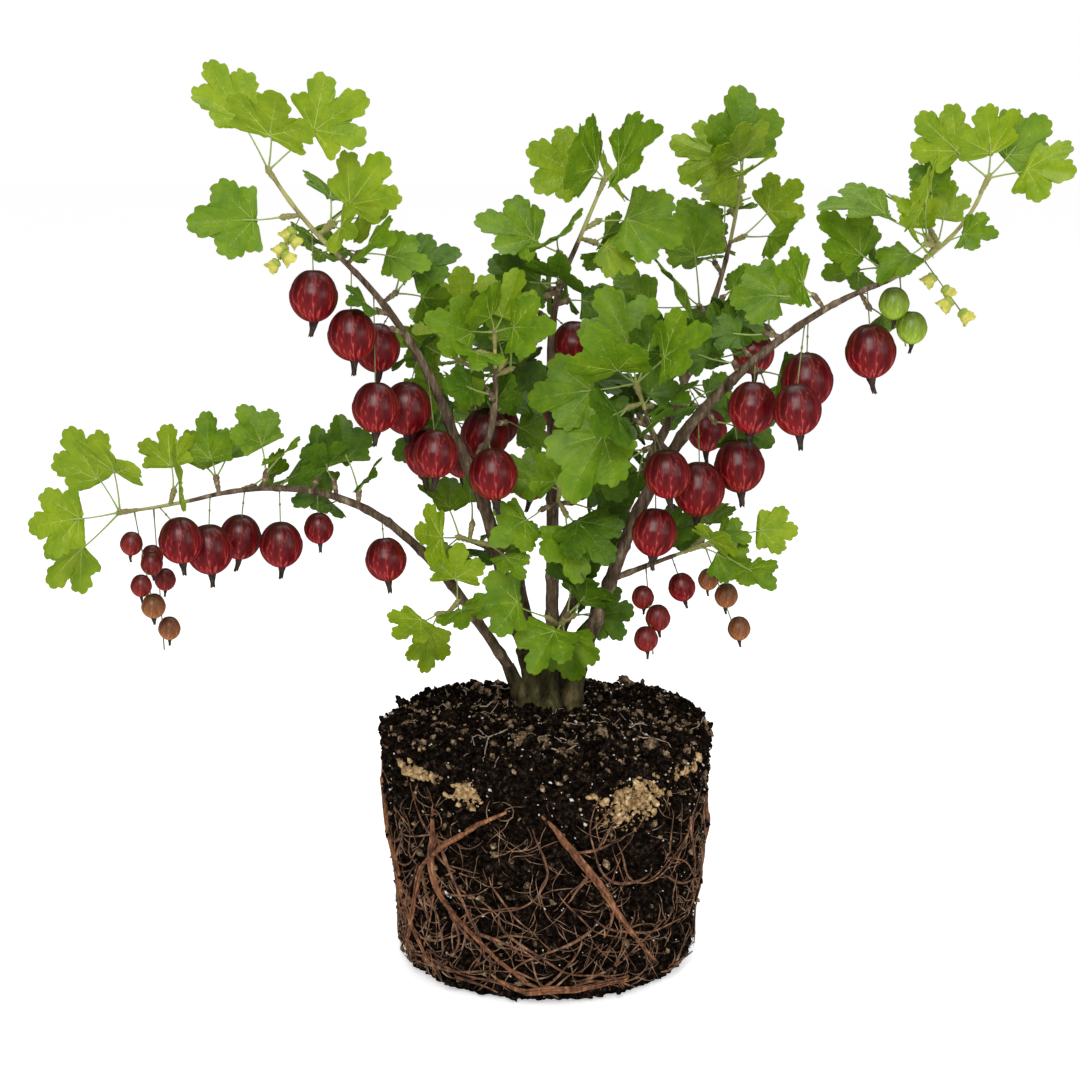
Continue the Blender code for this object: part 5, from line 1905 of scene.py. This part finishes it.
def main_root(points, radius, draw, kept):
    """A main root of several strands, which starts in the compost, and the roots off it."""
    line = smooth_line(points, ROOT_STEP)
    places = []
    for number, point in enumerate(line):
        turn = math.atan2(point.y, point.x)
        ahead = way_along(line, number)
        across = ahead.dot(Vector((-math.sin(turn), math.cos(turn), 0)))
        places.append((turn, point.z, math.degrees(math.atan2(across, -ahead.z))))
    turn, height, course = places[0]
    lead = creeping(turn, height, course + 180, 0.020, radius * 0.5, draw, 3)[0]
    for share, aside, outward in STRANDS:
        laid = []
        for number, (turn, height, course) in enumerate(places):
            point, out = root_bed(turn, height)
            side = out.cross(Vector((0, 0, 1))) * math.cos(math.radians(course))
            side += Vector((0, 0, 1)) * math.sin(math.radians(course))
            where = Vector((number * 0.35, aside * 9, radius * 999))
            sway = aside + STRAND_SWAY * noise.noise(where)
            laid.append(point + side * radius * sway + out * radius * outward)
        laid[-1] = laid[-1] - out * radius
        kept[0].append((lead[:0:-1] + laid if outward else laid, radius * share * 1.25))
    branch_out(places, MAIN_FORK, 0, min(radius, 0.0016), draw, kept)


def soil_root(draw):
    """A thin root that wanders over the soil: (points, radius), or none where it is too short."""
    spot = around(draw.uniform(0, math.tau), draw.uniform(*SOIL_START))
    way = draw.uniform(0, math.tau)
    run = []
    for _ in range(SOIL_ROOT_STEPS):
        if spot.length < BALL_RIM_RADIUS - 0.003:
            run.append(soil_point(math.atan2(spot.y, spot.x), spot.length, 0.0006))
        way += draw.gauss(0, 0.35)
        spot = spot + around(way) * ROOT_STEP
    return (run, draw.uniform(*SOIL_RADIUS)) if len(run) >= LEAST_POINTS else None


def roots():
    """The main roots, the side roots that fork off them, and a net of fine ones."""
    draw = random.Random("fine roots")
    kept = [[], [], []]
    for points, radius in root_paths():
        main_root(points, radius, draw, kept)
    for number in range(FINE_ROOTS):
        turn = math.tau * number / FINE_ROOTS + draw.uniform(-0.1, 0.1)
        radius = draw.uniform(*FINE_RADIUS)
        found = creeping(turn, draw.uniform(*FINE_HEIGHT), draw.gauss(0, 45),
                         draw.uniform(*FINE_LENGTH), radius, draw, 4)
        keep_root(found, radius, 1, draw, kept, (FINE_FORK, 0))
    for _ in range(FOOT_ROOTS):
        radius = draw.uniform(*FOOT_RADIUS)
        found = creeping(draw.uniform(0, math.tau), draw.uniform(*FOOT_HEIGHT),
                         draw.choice((-1, 1)) * draw.uniform(*FOOT_COURSE), FOOT_LENGTH, radius,
                         draw, 2)
        keep_root(found, radius, 1, draw, kept, (FOOT_FORK, 1))
    for _ in range(HAIR_ROOTS):
        radius = draw.uniform(*HAIR_RADIUS)
        found = creeping(draw.uniform(0, math.tau), draw.uniform(*HAIR_HEIGHT), draw.gauss(0, 50),
                         draw.uniform(*HAIR_LENGTH), radius, draw, 12)
        keep_root(found, radius, 2, draw, kept)
    pale = [root for root in (soil_root(draw) for _ in range(SOIL_ROOTS)) if root]
    root_piece("thick_roots", kept[0], 8, "root_rust")
    root_piece("side_roots", kept[1], 6, "root_tawny")
    root_piece("hair_roots", kept[2], 4, "root_straw")
    root_piece("soil_roots", pale, 4, "root_cream")


# Studio


def studio():
    """A white floor and sky with soft lamps above, and the camera."""
    picked()
    bpy.ops.mesh.primitive_plane_add(size=FLOOR_SIZE, location=(0, 0, FLOOR_HEIGHT))
    floor = bpy.context.active_object
    floor.name = "floor"
    shader = new_finish("floor_white", 0.9, 0.5)[2]
    shader.inputs["Base Color"].default_value = (0.9, 0.9, 0.9, 1)
    shader.inputs["Emission Color"].default_value = (1, 1, 1, 1)
    shader.inputs["Emission Strength"].default_value = FLOOR_GLOW
    floor.data.materials.append(bpy.data.materials["floor_white"])
    floor.visible_glossy = False
    bpy.context.scene.world = white_sky()
    for name, place, aim, size, power in LIGHTS:
        light = bpy.data.lights.new(name, "AREA")
        light.shape = "SQUARE"
        light.size = size
        light.energy = power
        lamp = shown(name, light)
        lamp.location = place
        lamp.rotation_euler = (Vector(aim) - Vector(place)).to_track_quat("-Z", "Y").to_euler()
    lens = bpy.data.cameras.new("camera")
    lens.lens = CAMERA_LENS
    lens.sensor_width = 36
    camera = shown("camera", lens)
    camera.location = CAMERA_PLACE
    camera.rotation_euler = (math.radians(CAMERA_TILT), 0, 0)
    bpy.context.scene.camera = camera
    bpy.context.scene.view_settings.view_transform = "Standard"


def white_sky():
    """White behind the bush, a softer light on it, and a dim reflection in what is glossy."""
    world = bpy.data.worlds.new("studio")
    world.use_nodes = True
    nodes, links = world.node_tree.nodes, world.node_tree.links
    ray = nodes.new("ShaderNodeLightPath")
    last = nodes["Background"]
    last.inputs["Color"].default_value = (1, 1, 1, 1)
    last.inputs["Strength"].default_value = SKY_LIGHT
    for kind, strength in (("Is Glossy Ray", SKY_SHINE), ("Is Camera Ray", 1.0)):
        other = add_node(nodes, "Background", {"Color": (1, 1, 1, 1), "Strength": strength})
        either = nodes.new("ShaderNodeMixShader")
        links.new(ray.outputs[kind], either.inputs["Fac"])
        links.new(last.outputs[0], either.inputs[1])
        links.new(other.outputs[0], either.inputs[2])
        last = either
    links.new(last.outputs[0], nodes["World Output"].inputs["Surface"])
    return world


# The bush
add_finishes()
masses = grow_masses(unit_shapes())
foliage(masses)
wood_twigs(masses)
fruit(masses)
wood(masses)
compost_body()
crumbs()
roots()
studio()
